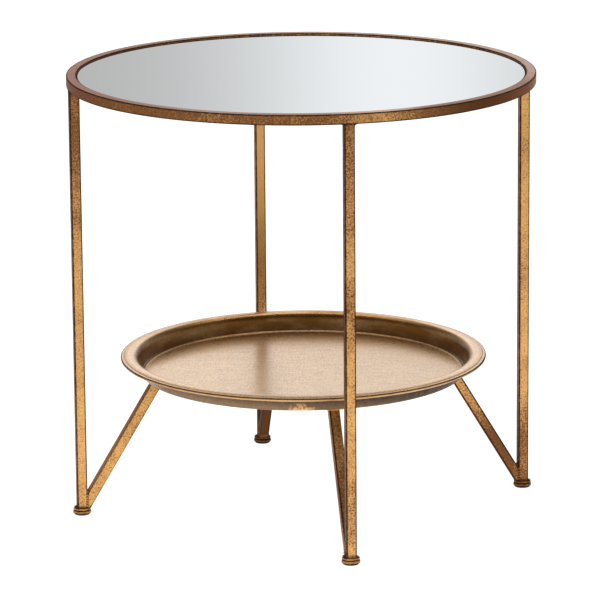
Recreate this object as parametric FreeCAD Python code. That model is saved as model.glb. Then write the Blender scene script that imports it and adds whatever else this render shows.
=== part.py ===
import FreeCAD, Part
import math
import os

# Accent table: a hoop of square tube holds a drop-in mirror, four upright legs carry the hoop, and a
# raking brace rises from the foot of each leg to a pressed tray that is the lower shelf.
# Millimetres, +Z up, origin on the floor under the middle of the table, legs on the X and Y axes.

# Driving dimensions
table_height = 550.0
table_radius = 290.0
leg_sides = ("right", "back", "left", "front")

# Square tube of the hoop, the legs and the braces
tube_side = 12.7
tube_wall = 1.2
tube_corner = 1.2

# Welds that show
hoop_weld = 3.5
foot_weld = 2.6
brace_weld = 6.0

# Mirror top, from the rim of the hoop downwards
mirror_recess = 2.0
mirror_thickness = 4.0
mirror_edge_gap = 1.0
mirror_arris = 0.6
board_thickness = 3.0
board_inset = 1.5
bumper_thickness = 1.0
bumper_radius = 5.0
bumper_count = 6
bumper_turn_share = 0.25
ledge_thickness = 2.0
ledge_width = 16.0
ledge_fit = 0.2

# Feet, from the floor upwards
pad_thickness = 1.5
pad_radius = 9.6
glide_band = 4.0
glide_radius = 11.4
glide_edge = 1.2
glide_neck_height = 0.7
glide_neck_radius = 8.5
stud_radius = 3.0
stud_length = 18.0
stud_tip = 0.8
thread_clearance = 0.05
socket_flange_thickness = 2.4
socket_flange_radius = 10.8
socket_flange_edge = 0.8
socket_spigot_length = 13.0
socket_spigot_gap = 0.2

# Tray, a sheet pressed to one section all round
tray_rim_radius = 229.0
tray_crown_height = 193.6
tray_depth = 22.4
tray_sheet = 1.2
tray_hem_bend = 1.3
tray_hem_return = 4.0
tray_ledge_width = 2.0
tray_step_drop = 1.2
tray_step_angle = 40.0
tray_step_bend = 1.0
tray_flange_width = 6.0
tray_flange_fall = 5.0
tray_shoulder_bend = 10.0
tray_wall_angle = 76.0
tray_foot_bend = 2.5
tray_groove_width = 0.8
tray_bead_width = 4.0
tray_bead_height = 1.0

# Braces and the tray's fastening
brace_aim_height = 4.0
brace_head_inset = 11.5
tab_thickness = 2.5
tab_width = 20.0
tab_margin = 2.0
tab_stud_offset = 22.0
tray_stud_radius = 2.5
tray_stud_length = 11.0
tray_stud_gap = 0.25
nut_across_flats = 8.0
nut_height = 4.0
nut_bore_gap = 0.05

# How far a cutting shape runs past what it cuts
overrun = 12.0

# Levels and radii that follow from the sizes above
hoop_bottom = table_height - tube_side
hoop_inner_radius = table_radius - tube_side
leg_centre_radius = table_radius - tube_side / 2
leg_inner_face = leg_centre_radius - tube_side / 2
mirror_top = table_height - mirror_recess
mirror_radius = hoop_inner_radius - mirror_edge_gap
board_top = mirror_top - mirror_thickness
board_radius = mirror_radius - board_inset
bumper_top = board_top - board_thickness
ledge_top = bumper_top - bumper_thickness
ledge_bottom = ledge_top - ledge_thickness
ledge_outer_radius = hoop_inner_radius - ledge_fit
ledge_inner_radius = ledge_outer_radius - ledge_width
glide_top = pad_thickness + glide_band
socket_bottom = glide_top + glide_neck_height
leg_bottom = socket_bottom + socket_flange_thickness
tray_floor = tray_crown_height - tray_depth
tray_underside = tray_floor - tray_sheet
tab_bottom = tray_underside - tab_thickness

up = FreeCAD.Vector(0, 0, 1)
centre = FreeCAD.Vector(0, 0, 0)


def square_face(side, corner):
    """A square with its corners taken off, in the XY plane about the origin."""
    half = side / 2
    flat = half - corner
    points = []
    for quarter in range(4):
        turn = FreeCAD.Rotation(up, 90 * quarter)
        points.append(turn.multVec(FreeCAD.Vector(half, flat, 0)))
        if corner:
            points.append(turn.multVec(FreeCAD.Vector(flat, half, 0)))
    return Part.Face(Part.makePolygon(points + points[:1]))


def tube_section():
    """The square tube's wall as a flat face, in the XY plane about the origin."""
    bore_side = tube_side - 2 * tube_wall
    return square_face(tube_side, tube_corner).cut(square_face(bore_side, 0))


def ring(outer_radius, inner_radius, height, bottom):
    """A flat ring about the Z axis."""
    base = FreeCAD.Vector(0, 0, bottom)
    return Part.makeCylinder(outer_radius, height, base).cut(Part.makeCylinder(inner_radius, height, base))


def disc(radius, height, bottom, x=0):
    """An upright disc or stud on the X axis."""
    return Part.makeCylinder(radius, height, FreeCAD.Vector(x, 0, bottom))


def rims_at(shape, radius, height):
    """The circular edges of a turned shape at one radius and height."""
    found = []
    for edge in shape.Edges:
        curve = edge.Curve
        if isinstance(curve, Part.Circle) and math.isclose(curve.Radius, radius):
            if math.isclose(curve.Center.z, height):
                found.append(edge)
    return found


def weld_fillet(size, width):
    """A weld in the corner of the planes Y = 0 and Z = 0, with a hollow face, centred along X."""
    corner_line = Part.makeLine(FreeCAD.Vector(0, size, 0), centre)
    upright = Part.makeLine(centre, FreeCAD.Vector(0, 0, size))
    slant = size * (1 - math.sqrt(0.5))
    hollow = Part.Arc(FreeCAD.Vector(0, 0, size), FreeCAD.Vector(0, slant, slant), FreeCAD.Vector(0, size, 0))
    face = Part.Face(Part.Wire([corner_line, upright, hollow.toShape()]))
    weld = face.extrude(FreeCAD.Vector(width, 0, 0))
    weld.translate(FreeCAD.Vector(-width / 2, 0, 0))
    return weld


def pressed_section(start, moves, thickness):
    """The cut face of a sheet that starts level and outward at start, a point in the XZ plane.

    Each move is (run, turn, bend, creases): a straight run, then a turn in degrees, upward if positive,
    about a bend of that radius at the middle of the sheet. The bend is a true arc, or as many equal
    creases as are asked for. Both faces of the sheet follow at half its thickness.
    """
    half = thickness / 2
    heading = 0.0
    here = FreeCAD.Vector(start)
    sides = {1: [], -1: []}

    def normal(angle):
        return FreeCAD.Vector(-math.sin(angle), 0, math.cos(angle))

    for run, turn, bend, creases in moves:
        ahead = here + FreeCAD.Vector(math.cos(heading), 0, math.sin(heading)) * run
        if run:
            for side, edges in sides.items():
                offset = normal(heading) * half * side
                edges.append(Part.makeLine(here + offset, ahead + offset))
        here = ahead
        if turn:
            way = math.copysign(1, turn)
            pivot = here + normal(heading) * bend * way
            steps = creases or 2
            angles = [heading + math.radians(turn) * step / steps for step in range(steps + 1)]
            for side, edges in sides.items():
                radius = bend - half * side * way
                points = [pivot - normal(angle) * radius * way for angle in angles]
                if creases:
                    edges.extend(Part.makePolygon(points).Edges)
                else:
                    edges.append(Part.Arc(*points).toShape())
            heading = angles[-1]
            here = pivot - normal(heading) * bend * way
    ends = [normal(heading) * half * side + here for side in sides]
    starts = [FreeCAD.Vector(start) + normal(0) * half * side for side in sides]
    closing = [Part.makeLine(*ends), Part.makeLine(*starts)]
    return Part.Face(Part.Wire(Part.__sortEdges__(sides[1] + sides[-1] + closing)))


# The tray's section, worked out from its rim inwards so that its rim and its crown, the top of its
# rolled shoulder, stay as given
tray_fall = math.radians(tray_flange_fall)
tray_steep = math.radians(tray_wall_angle)
bead_turn = 2 * math.atan(2 * tray_bead_height / tray_bead_width)
bead_bend = tray_bead_width / (4 * math.sin(bead_turn))
shoulder_width = tray_shoulder_bend * (math.sin(tray_steep) + math.sin(tray_fall))
shoulder_rise = tray_shoulder_bend * (1 - math.cos(tray_steep))
foot_width = tray_foot_bend * math.sin(tray_steep)
foot_rise = tray_foot_bend * (1 - math.cos(tray_steep))
wall_rise = tray_depth - foot_rise - shoulder_rise
wall_width = wall_rise / math.tan(tray_steep)
hem_width = tray_hem_bend * (1 - math.sin(tray_fall)) + tray_sheet / 2
step_slope = tray_fall + math.radians(tray_step_angle)
step_bends_drop = 2 * tray_step_bend * (math.cos(tray_fall) - math.cos(step_slope))
step_bends_width = 2 * tray_step_bend * (math.sin(step_slope) - math.sin(tray_fall))
step_run = (tray_step_drop - step_bends_drop) / math.sin(step_slope)
step_width = step_bends_width + step_run * math.cos(step_slope)
rim_width = hem_width + tray_ledge_width + step_width + tray_flange_width
tray_wall_foot = tray_rim_radius - rim_width - shoulder_width - wall_width - foot_width
tray_floor_edge = tray_wall_foot - tray_groove_width - tray_bead_width

# Places of the braces' heads and of the tray's studs
brace_head_radius = tray_floor_edge - brace_head_inset
brace_lean = math.atan2(leg_centre_radius - brace_head_radius, tab_bottom - brace_aim_height)
brace_head_half = tube_side / 2 / math.cos(brace_lean)
tab_outer_radius = brace_head_radius + brace_head_half + tab_margin
tray_stud_place = brace_head_radius - tab_stud_offset


def make_top_hoop():
    """The tube's section turned about the table's axis."""
    section = tube_section()
    section.rotate(centre, FreeCAD.Vector(1, 0, 0), 90)
    section.translate(FreeCAD.Vector(leg_centre_radius, 0, hoop_bottom + tube_side / 2))
    return section.revolve(centre, up, 360)


def make_mirror_pane():
    """A round pane with a fine arris ground on its upper edge."""
    pane = disc(mirror_radius, mirror_thickness, board_top)
    return pane.makeChamfer(mirror_arris, rims_at(pane, mirror_radius, mirror_top))


def make_bumpers():
    """Soft dots spread evenly round the middle of the ledge, clear of the legs' lines."""
    place = (ledge_inner_radius + ledge_outer_radius) / 2
    dots = []
    for step in range(bumper_count):
        dot = disc(bumper_radius, bumper_thickness, ledge_top, place)
        dot.rotate(centre, up, 360 * (step + bumper_turn_share) / bumper_count)
        dots.append(dot)
    return Part.makeCompound(dots)


def make_leg():
    """The leg on +X: a tube under the hoop, with welds at the hoop and on the foot's flange."""
    leg = tube_section().extrude(up * (hoop_bottom - leg_bottom))
    leg.translate(FreeCAD.Vector(leg_centre_radius, 0, leg_bottom))
    flat = tube_side - 2 * tube_corner
    welds = []
    for turn in (0, 180):
        weld = weld_fillet(hoop_weld, flat)
        weld.rotate(centre, FreeCAD.Vector(1, 0, 0), -90)
        weld.translate(FreeCAD.Vector(0, tube_side / 2, hoop_bottom))
        weld.rotate(centre, up, turn)
        welds.append(weld)
    for turn in (0, 180, -90):
        weld = weld_fillet(foot_weld, flat)
        weld.translate(FreeCAD.Vector(0, tube_side / 2, leg_bottom))
        weld.rotate(centre, up, turn)
        welds.append(weld)
    for weld in welds:
        weld.translate(FreeCAD.Vector(leg_centre_radius, 0, 0))
    return leg.multiFuse(welds).removeSplitter()


def make_brace():
    """The brace on +X: a raking tube, cut by the leg's inner face, the foot's flange and the tray's tab."""
    run = FreeCAD.Vector(brace_head_radius - leg_centre_radius, 0, tab_bottom - brace_aim_height)
    tube = tube_section().extrude(up * (run.Length + 2 * overrun))
    tube.translate(up * -overrun)
    tube.rotate(centre, FreeCAD.Vector(0, 1, 0), -math.degrees(brace_lean))
    tube.translate(FreeCAD.Vector(leg_centre_radius, 0, brace_aim_height))
    room = Part.makeBox(leg_inner_face, 2 * tube_side, tab_bottom - leg_bottom)
    room.translate(FreeCAD.Vector(0, -tube_side, leg_bottom))
    brace = tube.common(room)
    meeting = (leg_centre_radius - leg_inner_face) / math.tan(brace_lean) + brace_aim_height
    crotch = FreeCAD.Vector(leg_inner_face, 0, meeting + tube_side / 2 / math.sin(brace_lean))
    along = FreeCAD.Vector(-math.sin(brace_lean), 0, math.cos(brace_lean))
    outline = Part.makePolygon([crotch, crotch + up * brace_weld, crotch + along * brace_weld, crotch])
    flat = tube_side - 2 * tube_corner
    weld = Part.Face(outline).extrude(FreeCAD.Vector(0, flat, 0))
    weld.translate(FreeCAD.Vector(0, -flat / 2, 0))
    return brace.fuse(weld).removeSplitter()


def make_foot_socket():
    """The threaded end plug of a leg: a flange under the tube and a spigot up its bore."""
    flange = disc(socket_flange_radius, socket_flange_thickness, socket_bottom)
    flange = flange.makeChamfer(socket_flange_edge, rims_at(flange, socket_flange_radius, leg_bottom))
    spigot = disc(tube_side / 2 - tube_wall - socket_spigot_gap, socket_spigot_length, leg_bottom)
    bore_length = socket_flange_thickness + socket_spigot_length
    bore = disc(stud_radius + thread_clearance, bore_length, socket_bottom)
    socket = flange.fuse(spigot).removeSplitter().cut(bore)
    socket.translate(FreeCAD.Vector(leg_centre_radius, 0, 0))
    return socket


def make_glide():
    """The screw-in foot: a band with both rims eased, a neck that leaves the dark seam, and a stud."""
    band = disc(glide_radius, glide_band, pad_thickness)
    rims = rims_at(band, glide_radius, pad_thickness) + rims_at(band, glide_radius, glide_top)
    band = band.makeChamfer(glide_edge, rims)
    neck = disc(glide_neck_radius, glide_neck_height, glide_top)
    stud = disc(stud_radius, stud_length, socket_bottom)
    stud = stud.makeChamfer(stud_tip, rims_at(stud, stud_radius, socket_bottom + stud_length))
    glide = band.multiFuse([neck, stud]).removeSplitter()
    glide.translate(FreeCAD.Vector(leg_centre_radius, 0, 0))
    return glide


def make_glide_pad():
    """The non-marking pad under a foot."""
    return disc(pad_radius, pad_thickness, 0, leg_centre_radius)


def make_tray():
    """The pressed tray in one turned sheet: floor, bead, groove, wall, shoulder and a stepped, hemmed rim."""
    bead = math.degrees(bead_turn)
    moves = [
        (tray_floor_edge, bead, bead_bend, 1),
        (0, -2 * bead, bead_bend, 1),
        (0, bead, bead_bend, 1),
        (tray_groove_width, tray_wall_angle, tray_foot_bend, 2),
        (wall_rise / math.sin(tray_steep), -tray_wall_angle - tray_flange_fall, tray_shoulder_bend, 0),
        (tray_flange_width / math.cos(tray_fall), -tray_step_angle, tray_step_bend, 1),
        (step_run, tray_step_angle, tray_step_bend, 1),
        (tray_ledge_width / math.cos(tray_fall), -180, tray_hem_bend, 3),
        (tray_hem_return, 0, 0, 0),
    ]
    start = FreeCAD.Vector(0, 0, tray_floor - tray_sheet / 2)
    return pressed_section(start, moves, tray_sheet).revolve(centre, up, 360)


def make_tray_tab():
    """The plate on the head of a brace, with a round inner end about the tray's stud."""
    length = tab_outer_radius - tray_stud_place
    plate = Part.makeBox(length, tab_width, tab_thickness)
    plate.translate(FreeCAD.Vector(tray_stud_place, -tab_width / 2, tab_bottom))
    nose = disc(tab_width / 2, tab_thickness, tab_bottom, tray_stud_place)
    hole = disc(tray_stud_radius + tray_stud_gap, tab_thickness, tab_bottom, tray_stud_place)
    return plate.fuse(nose).removeSplitter().cut(hole)


def make_tray_stud():
    """A weld stud under the tray's floor."""
    return disc(tray_stud_radius, tray_stud_length, tray_underside - tray_stud_length, tray_stud_place)


def make_tray_nut():
    """A hexagon nut under a tab."""
    bottom = tab_bottom - nut_height
    reach = nut_across_flats / math.sqrt(3)
    points = []
    for corner in range(7):
        angle = math.radians(60 * corner)
        x = tray_stud_place + reach * math.cos(angle)
        points.append(FreeCAD.Vector(x, reach * math.sin(angle), bottom))
    nut = Part.Face(Part.makePolygon(points)).extrude(up * nut_height)
    return nut.cut(disc(tray_stud_radius + nut_bore_gap, nut_height, bottom, tray_stud_place))


def turned_to_side(shape, step):
    """A copy of a piece on +X, turned to one of the four sides."""
    copy = shape.copy()
    copy.rotate(centre, up, 360 * step / len(leg_sides))
    return copy


def all_pieces():
    """Every piece by its node's name."""
    pieces = {
        "top_hoop": make_top_hoop(),
        "mirror_pane": make_mirror_pane(),
        "backing_board": disc(board_radius, board_thickness, bumper_top),
        "ledge_bumpers": make_bumpers(),
        "glass_ledge": ring(ledge_outer_radius, ledge_inner_radius, ledge_thickness, ledge_bottom),
        "tray": make_tray(),
    }
    per_side = {
        "leg": make_leg(),
        "brace": make_brace(),
        "foot_socket": make_foot_socket(),
        "glide": make_glide(),
        "glide_pad": make_glide_pad(),
        "tray_tab": make_tray_tab(),
    }
    for name, shape in per_side.items():
        for step, side in enumerate(leg_sides):
            pieces[name + "_" + side] = turned_to_side(shape, step)
    fasteners = {
        "tray_studs": make_tray_stud(),
        "tray_nuts": make_tray_nut(),
    }
    for name, shape in fasteners.items():
        pieces[name] = Part.makeCompound([turned_to_side(shape, step) for step in range(len(leg_sides))])
    return pieces


os.makedirs("parts", exist_ok=True)
for node, shape in all_pieces().items():
    shape.exportStep("parts/" + node + ".step")
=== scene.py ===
import math

import bpy
import numpy as np
from mathutils import Matrix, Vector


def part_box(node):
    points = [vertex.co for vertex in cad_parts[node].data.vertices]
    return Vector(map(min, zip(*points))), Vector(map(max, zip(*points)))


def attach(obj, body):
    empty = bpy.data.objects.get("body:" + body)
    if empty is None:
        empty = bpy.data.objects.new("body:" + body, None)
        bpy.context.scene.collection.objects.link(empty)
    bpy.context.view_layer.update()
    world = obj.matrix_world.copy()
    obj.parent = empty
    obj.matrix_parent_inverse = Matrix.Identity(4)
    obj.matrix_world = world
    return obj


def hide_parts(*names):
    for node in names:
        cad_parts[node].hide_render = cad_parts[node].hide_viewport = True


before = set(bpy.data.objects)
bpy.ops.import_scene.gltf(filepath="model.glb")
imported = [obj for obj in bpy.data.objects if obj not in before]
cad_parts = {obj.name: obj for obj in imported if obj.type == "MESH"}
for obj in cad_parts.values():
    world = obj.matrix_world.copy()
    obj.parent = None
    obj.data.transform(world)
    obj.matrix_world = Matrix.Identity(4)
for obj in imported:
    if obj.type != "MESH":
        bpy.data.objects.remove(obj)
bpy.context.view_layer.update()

# Accent table: a mirror top in a hoop of square tube, four legs, four raking braces and a pressed tray.
# Metres, +Z up, origin on the floor under the middle of the table, legs on the X and Y axes.

bl_info = {
    "name": "Mirror-top accent table",
    "version": (1, 0, 0),
    "blender": (4, 5, 0),
    "location": "3D View > Sidebar > Accent table",
    "description": "Builds the finished surfaces of a mirror-top accent table round its CAD frame",
    "category": "Add Mesh",
}

# Places and sizes read from the frame
SIDES = ("right", "back", "left", "front")
QUARTER = math.pi / 2
HOOP_LOW, HOOP_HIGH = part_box("top_hoop")
LEG_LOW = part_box("leg_right")[0]
BRACE_LOW, BRACE_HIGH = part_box("brace_right")
TRAY_LOW, TRAY_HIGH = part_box("tray")
PANE_LOW, PANE_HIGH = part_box("mirror_pane")
SOCKET_LOW, SOCKET_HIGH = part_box("foot_socket_right")
GLIDE_LOW, GLIDE_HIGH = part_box("glide_right")
PAD_LOW, PAD_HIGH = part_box("glide_pad_right")
STUD_LOW, STUD_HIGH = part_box("tray_studs")
NUT_LOW, NUT_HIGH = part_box("tray_nuts")
DOT_LOW, DOT_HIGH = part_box("ledge_bumpers")
LEDGE_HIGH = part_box("glass_ledge")[1]
TUBE_SIDE = HOOP_HIGH.z - HOOP_LOW.z
TABLE_RADIUS = HOOP_HIGH.x
LEG_RADIUS = TABLE_RADIUS - TUBE_SIDE / 2
GLIDE_RADIUS = (GLIDE_HIGH.x - GLIDE_LOW.x) / 2
SOCKET_RADIUS = (SOCKET_HIGH.x - SOCKET_LOW.x) / 2
PAD_RADIUS = (PAD_HIGH.x - PAD_LOW.x) / 2
LEG_INNER_FACE = LEG_RADIUS - TUBE_SIDE / 2

# Sockets of a colour mix, the span that most noise values lie in, and the camera's sensor in millimetres
COLOUR_A, COLOUR_B, COLOUR_RESULT = 6, 7, 2
NOISE_SPAN = (0.3, 0.7)
SENSOR_WIDTH = 36

# Creases between faces, and the turn of the tray's brushing
SOFT_CREASE, SHARP_CREASE = math.radians(50), math.radians(20)
BRUSH_TURN = math.radians(11)

# Seeds of the wandering surfaces, so that each run gives the same ones, and the waves they are made of
HOOP_SEED, LEG_SEED, WELD_SEED, BRACE_SEED, BEAD_SEED, CROTCH_SEED = 3, 10, 20, 30, 40, 60
FLOOR_SEEDS = (5, 6)
WAVES = 4
WAVE_STRETCH = (0.6, 1.8)

# Rounds that bring the lean of a brace and the place of its head to agree
LEAN_ROUNDS = 12

# Glaze on the tubes and painted shade on their shaded sides: corner radii over which a face's glaze fades,
# the welds, and the sides of a brace
FACE_FADE = 1.5
HOOP_WELD_SHARE, BRACE_TOE_SHARE = 0.7, 0.8
BRACE_EDGE_GLAZE, BRACE_SIDE_SHARE, BRACE_OTHER_SIDE_SHARE = 1.8, 0.4, 0.3

# Weld beads: a direction that no bead runs in, waves in ripples, parts of the bead's radius, and glaze
ASKEW = (1.0, 0.3, 0.2)
BEAD_WAVE, SEAM_WAVE = 2.3, 3
BEAD_UNEVEN_SHARE, BEAD_TIP_SHARE, SEAM_DRIFT_SHARE, SEAM_SINK_SHARE = 0.35, 0.02, 0.4, 0.3
BEAD_GLAZE_SHARE, BEAD_HOLLOW_SHARE = 0.3, 0.45

# Tray: limits of the upward part of the sheet's look that tell its parts from each other, and their fades
WALL_LOOK, FLANGE_LOOK, ROLL_LOOK, HEM_SHADE_END = 0.85, 0.8, 0.985, 0.6
WALL_FADE, HEM_SHADE_FADE = 0.3, 0.06

# Tray: glaze and painted shade inside and outside, painted highlights, and parts of the floor's radius, the
# bead's width or the depth
WALL_FOOT_SHARE, WALL_UPWARD_SHARE, ROLL_SHADE_SHARE, UNDER_HEM_SHADE_SHARE = 0.75, 0.33, 0.95, 0.4
# painted shade on the outside of the tray
OUTSIDE_SHARE, OUTSIDE_RISE_SHARE, OUTSIDE_HEM_SHARE, OUTSIDE_LEAST_SHARE = 0.45, 0.6, 0.5, 0.02
# painted highlight on the flange and the ledge
FLANGE_HIGHLIGHT_SHARE, LEDGE_HIGHLIGHT_SHARE = 0.25, 0.8
FLOOR_MIDDLE_SHARE, TRUE_EDGE_SHARE, CREST_SHARE, LOW_HIGHLIGHT_RISE_SHARE = 0.04, 0.1, 0.32, 0.35

# Mirror: the part of its radius where the innermost ring of a face lies
PANE_MIDDLE_SHARE = 0.1

# Threads: steepness of the flanks, the flat at the root and the radius left at the tip
FLANK_SLOPE, ROOT_FLAT_SHARE, TIP_SHARE = 1.5, 0.25, 0.8

# Glaze on a foot: below and above the flange's rim, on the rim, at its upper edge, on the band and the stud
SOCKET_SHARES = ((1, 1, 0.7), (0.8, 0.8, 1))
RIM_SHARE, RIM_EDGE_SHARE, BAND_TOP_SHARE, STUD_SHARE = 0.1, 0.5, 0.6, 0.3

# Patches that make the finish darker there, or lighter if negative: partly the finish's own uneven tone and
# partly painted shade and painted highlights
# Legs: side, height of the patch's middle, its reach along the leg, strength
LEG_TONE_AND_LIGHT = (
    ("left", 0.51, 0.06, 0.38),
    ("left", 0.36, 0.07, 0.08),
    ("front", 0.52, 0.03, 0.15),
    ("front", 0.315, 0.025, 0.45),
    ("front", 0.48, 0.08, 0.12),
    ("front", 0.08, 0.05, 0.25),
    ("right", 0.48, 0.07, -0.30),
    ("right", 0.06, 0.035, 0.70),
    ("right", 0.00, 0.02, 0.45),
    ("back", 0.40, 0.20, -0.60),
    # painted shadow of the tray on the back leg's foot
    ("back", 0.06, 0.11, 1.25),
)
# Hoop, all painted light, a painted highlight where the strength is negative and painted shade elsewhere:
# place of the patch's middle in degrees, its reach along the hoop, strength
HOOP_PAINTED_LIGHT = (
    (-79, 0.04, -0.75),
    (-54, 0.085, 1.40),
    (-158, 0.09, 0.28),
    (-101, 0.06, 0.30),
    (155, 0.26, 0.45),
)
# Braces: side, strength at the foot, strength at the head; the back brace's deep tone is painted shade under
# the tray
BRACE_TONE_AND_SHADE = (("right", 0.38, 0.30), ("back", 1.45, 1.45), ("left", 0.05, 0.35), ("front", 0.25, 0.40))
# The way that the tubes' shaded sides look; painted shade lies on them
SHADED_WAY = np.array([-1.0, 0.0, 0.0])

# Light of the studio by the sine of the elevation: the sheet behind the table, and the room
SHEET_LIGHT = (
    (0.0, 0.35), (0.10, 0.47), (0.165, 0.47), (0.195, 0.47),
    (0.235, 1.6), (0.32, 1.4), (0.90, 1.25), (1.0, 1.0),
)
ROOM_LIGHT = ((0.0, 0.22), (0.25, 0.30), (0.42, 0.30), (0.50, 0.10), (0.70, 0.10), (0.85, 0.80), (1.0, 1.0))
# Colour of the soft strip behind the table, and how much of it covers the sheet
STRIP_COLOUR = (0.90, 0.925, 0.945)
STRIP_SHARE = 0.95


def size(label, words, default):
    """A length that a user can change."""
    return bpy.props.FloatProperty(name=label, description=words, default=default, unit="LENGTH", precision=5)


def angle(label, words, degrees):
    """An angle that a user can change, given in degrees."""
    return bpy.props.FloatProperty(
        name=label, description=words, default=math.radians(degrees), subtype="ANGLE", precision=4
    )


def share(label, words, default):
    """A part of a whole that a user can change."""
    return bpy.props.FloatProperty(
        name=label, description=words, default=default, min=0, max=1, subtype="FACTOR"
    )


def number(label, words, default):
    """A plain value that a user can change."""
    return bpy.props.FloatProperty(name=label, description=words, default=default, precision=4)


def count(label, words, default):
    """A number of steps that a user can change."""
    return bpy.props.IntProperty(name=label, description=words, default=default, min=3)


def colour(label, words, default):
    """A linear colour that a user can change."""
    return bpy.props.FloatVectorProperty(
        name=label, description=words, default=default, size=3, min=0, max=1, subtype="COLOR"
    )


class TubeSizes(bpy.types.PropertyGroup):
    """The square tube of the hoop, the legs and the braces, and the welds that join them."""

    corner: size("Corner radius", "Radius of the tube's four corners", 0.0010)
    line_width: size("Glaze line", "How far the brown glaze reaches from a corner onto the flats", 0.0010)
    sway: size("Sway", "How far the rolled and painted faces wander from true", 0.00008)
    sway_wave: size("Sway wave", "Length of one wave of that wandering", 0.06)
    hoop_weld: size("Hoop weld", "Radius of the hollow weld where a leg meets the hoop", 0.0035)
    foot_weld: size("Foot weld", "Radius of the hollow weld where a leg stands on its foot", 0.0026)
    brace_weld: size("Crotch weld", "How far the weld reaches up from a brace's crotch", 0.006)
    brace_aim: size("Brace aim", "Height at which the middle lines of a brace and its leg meet", 0.004)
    # painted shade on the tubes' shaded sides
    side_shade_share: share("Side glaze", "Glaze on the sides of the tubes that look to the shade", 0.72)
    weld_uneven_share: share("Uneven weld", "How unevenly the foot weld spreads", 0.3)
    bead: size("Bead radius", "Radius of the weld bead along the seam of a leg and its brace", 0.0014)
    bead_pitch: size("Bead pitch", "Distance between two ripples of the bead", 0.0034)
    bead_ripple_share: share("Bead ripple", "Part of the bead's radius that its ripples take", 0.4)
    corner_steps: count("Corner steps", "Points on each rounded corner", 5)
    weld_steps: count("Weld steps", "Sections along a hollow weld", 10)
    bead_steps: count("Bead steps", "Sections along a bead", 60)
    fill_steps: count("Fill steps", "Sections along the fill across a crotch", 24)
    bead_turns: count("Bead turns", "Points round a bead", 12)
    turns: count("Hoop steps", "Sections round the hoop", 288)
    lengths: count("Tube steps", "Sections along a leg or a brace", 120)


class TraySizes(bpy.types.PropertyGroup):
    """The pressed section of the tray, measured at the middle of its sheet."""

    sheet: size("Sheet", "Thickness of the sheet", 0.0012)
    hem_bend: size("Hem bend", "Bend radius of the hemmed rim", 0.0013)
    hem_return: size("Hem return", "Length of the sheet folded back under the rim", 0.004)
    ledge: size("Ledge", "Width of the narrow ledge between the step and the hem", 0.002)
    step_drop: size("Step", "Drop of the step from the flange to the ledge", 0.0012)
    step_angle: angle("Step angle", "Turn of the sheet down into the step", 40)
    step_bend: size("Step bend", "Bend radius at the top and the foot of the step", 0.001)
    flange: size("Flange", "Width of the flat flange", 0.006)
    flange_fall: angle("Flange fall", "Fall of the flange towards the rim", 5)
    shoulder_bend: size("Shoulder", "Bend radius of the rolled shoulder", 0.010)
    wall_slope: angle("Wall angle", "Steepness of the wall", 76)
    foot_bend: size("Foot bend", "Bend radius at the foot of the wall", 0.0025)
    groove: size("Groove", "Width of the flat groove inside the wall", 0.0008)
    bead_width: size("Bead width", "Width of the pressed bead round the floor", 0.004)
    bead_height: size("Bead height", "Height of the pressed bead round the floor", 0.001)
    dent: size("Floor dents", "How far the thin floor wanders from flat", 0.00012)
    dent_wave: size("Dent wave", "Length of one wave of the floor", 0.11)
    # painted shade on the flange at the back of the tray
    rim_shade_share: share("Rim toning", "How much deeper the flange is toned at its deepest", 0.46)
    rim_shade_place: angle("Rim toning place", "Where round the tray the flange is toned deepest", 82)
    rim_shade_reach: size("Rim toning reach", "Reach of the toning along the flange", 0.20)
    # the hem's roll is left without painted shade over this stretch
    hem_unshaded_place: angle("Gold hem", "Where round the tray the hem is rubbed back to gold", -109)
    hem_unshaded_reach: size("Gold hem reach", "Reach of the golden length of the hem", 0.21)
    # painted shade on the outside, deepest round this place
    shade_place: angle("Outer shade", "Where round the tray the outside is toned darkest", -50)
    shade_reach: size("Outer shade reach", "Reach of the dark toning along the outside", 0.13)
    outer_shade_share: share("Outer shade depth", "How much deeper the outside is toned there", 0.35)
    # painted highlight low on the outside, at the front
    low_highlight_place: angle("Worn patch", "Place of the worn patch round the outside", -102)
    low_highlight_reach: size("Worn reach", "Reach of the worn patch along the outside", 0.022)
    bend_steps: count("Bend steps", "Points on each bend of the section", 9)
    floor_steps: count("Floor steps", "Rings across the floor", 18)
    turns: count("Tray steps", "Sections round the tray", 288)


class FootSizes(bpy.types.PropertyGroup):
    """The screw-in feet and the fasteners, where the frame's boxes don't give a size."""

    round_over: size("Round-over", "Radius of the foot's upper and lower rim", 0.0016)
    flange_round: size("Flange round-over", "Radius of the flange's upper rim", 0.0008)
    flange: size("Flange thickness", "Thickness of the flange under a leg", 0.0024)
    band: size("Band", "Height of the foot's rounded band", 0.004)
    neck: size("Neck radius", "Radius in the dark seam above the band", 0.0085)
    stud: size("Stud radius", "Radius over the thread of a foot's stud", 0.003)
    bore_gap: size("Bore clearance", "Clearance round the stud in its socket", 0.00005)
    spigot: size("Spigot radius", "Radius of the socket's spigot in the bore of the leg", 0.00495)
    thread_pitch: size("Thread pitch", "Pitch of the foot's thread", 0.001)
    thread_depth: size("Thread depth", "Depth of the foot's thread", 0.0005)
    tray_stud: size("Tray stud radius", "Radius over the thread of the tray's studs", 0.0025)
    tray_pitch: size("Tray stud pitch", "Pitch of the tray studs' thread", 0.0008)
    tray_depth: size("Tray stud depth", "Depth of the tray studs' thread", 0.0004)
    nut_flats: size("Nut width", "Width of a nut across its flats", 0.008)
    nut_round: angle("Nut chamfer", "Slope of the chamfer on a nut's corners", 30)
    nut_bore: size("Nut clearance", "Clearance round the stud in its nut", 0.00005)
    pad_round: size("Pad round-over", "Radius of the pad's lower rim", 0.0006)
    turns: count("Foot steps", "Sections round a foot", 48)
    rows_per_turn: count("Thread steps", "Rows to each turn of a thread", 8)
    nut_steps: count("Nut steps", "Rows on each chamfer of a nut", 5)
    bend_steps: count("Bend steps", "Points on each rounded rim", 6)


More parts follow.
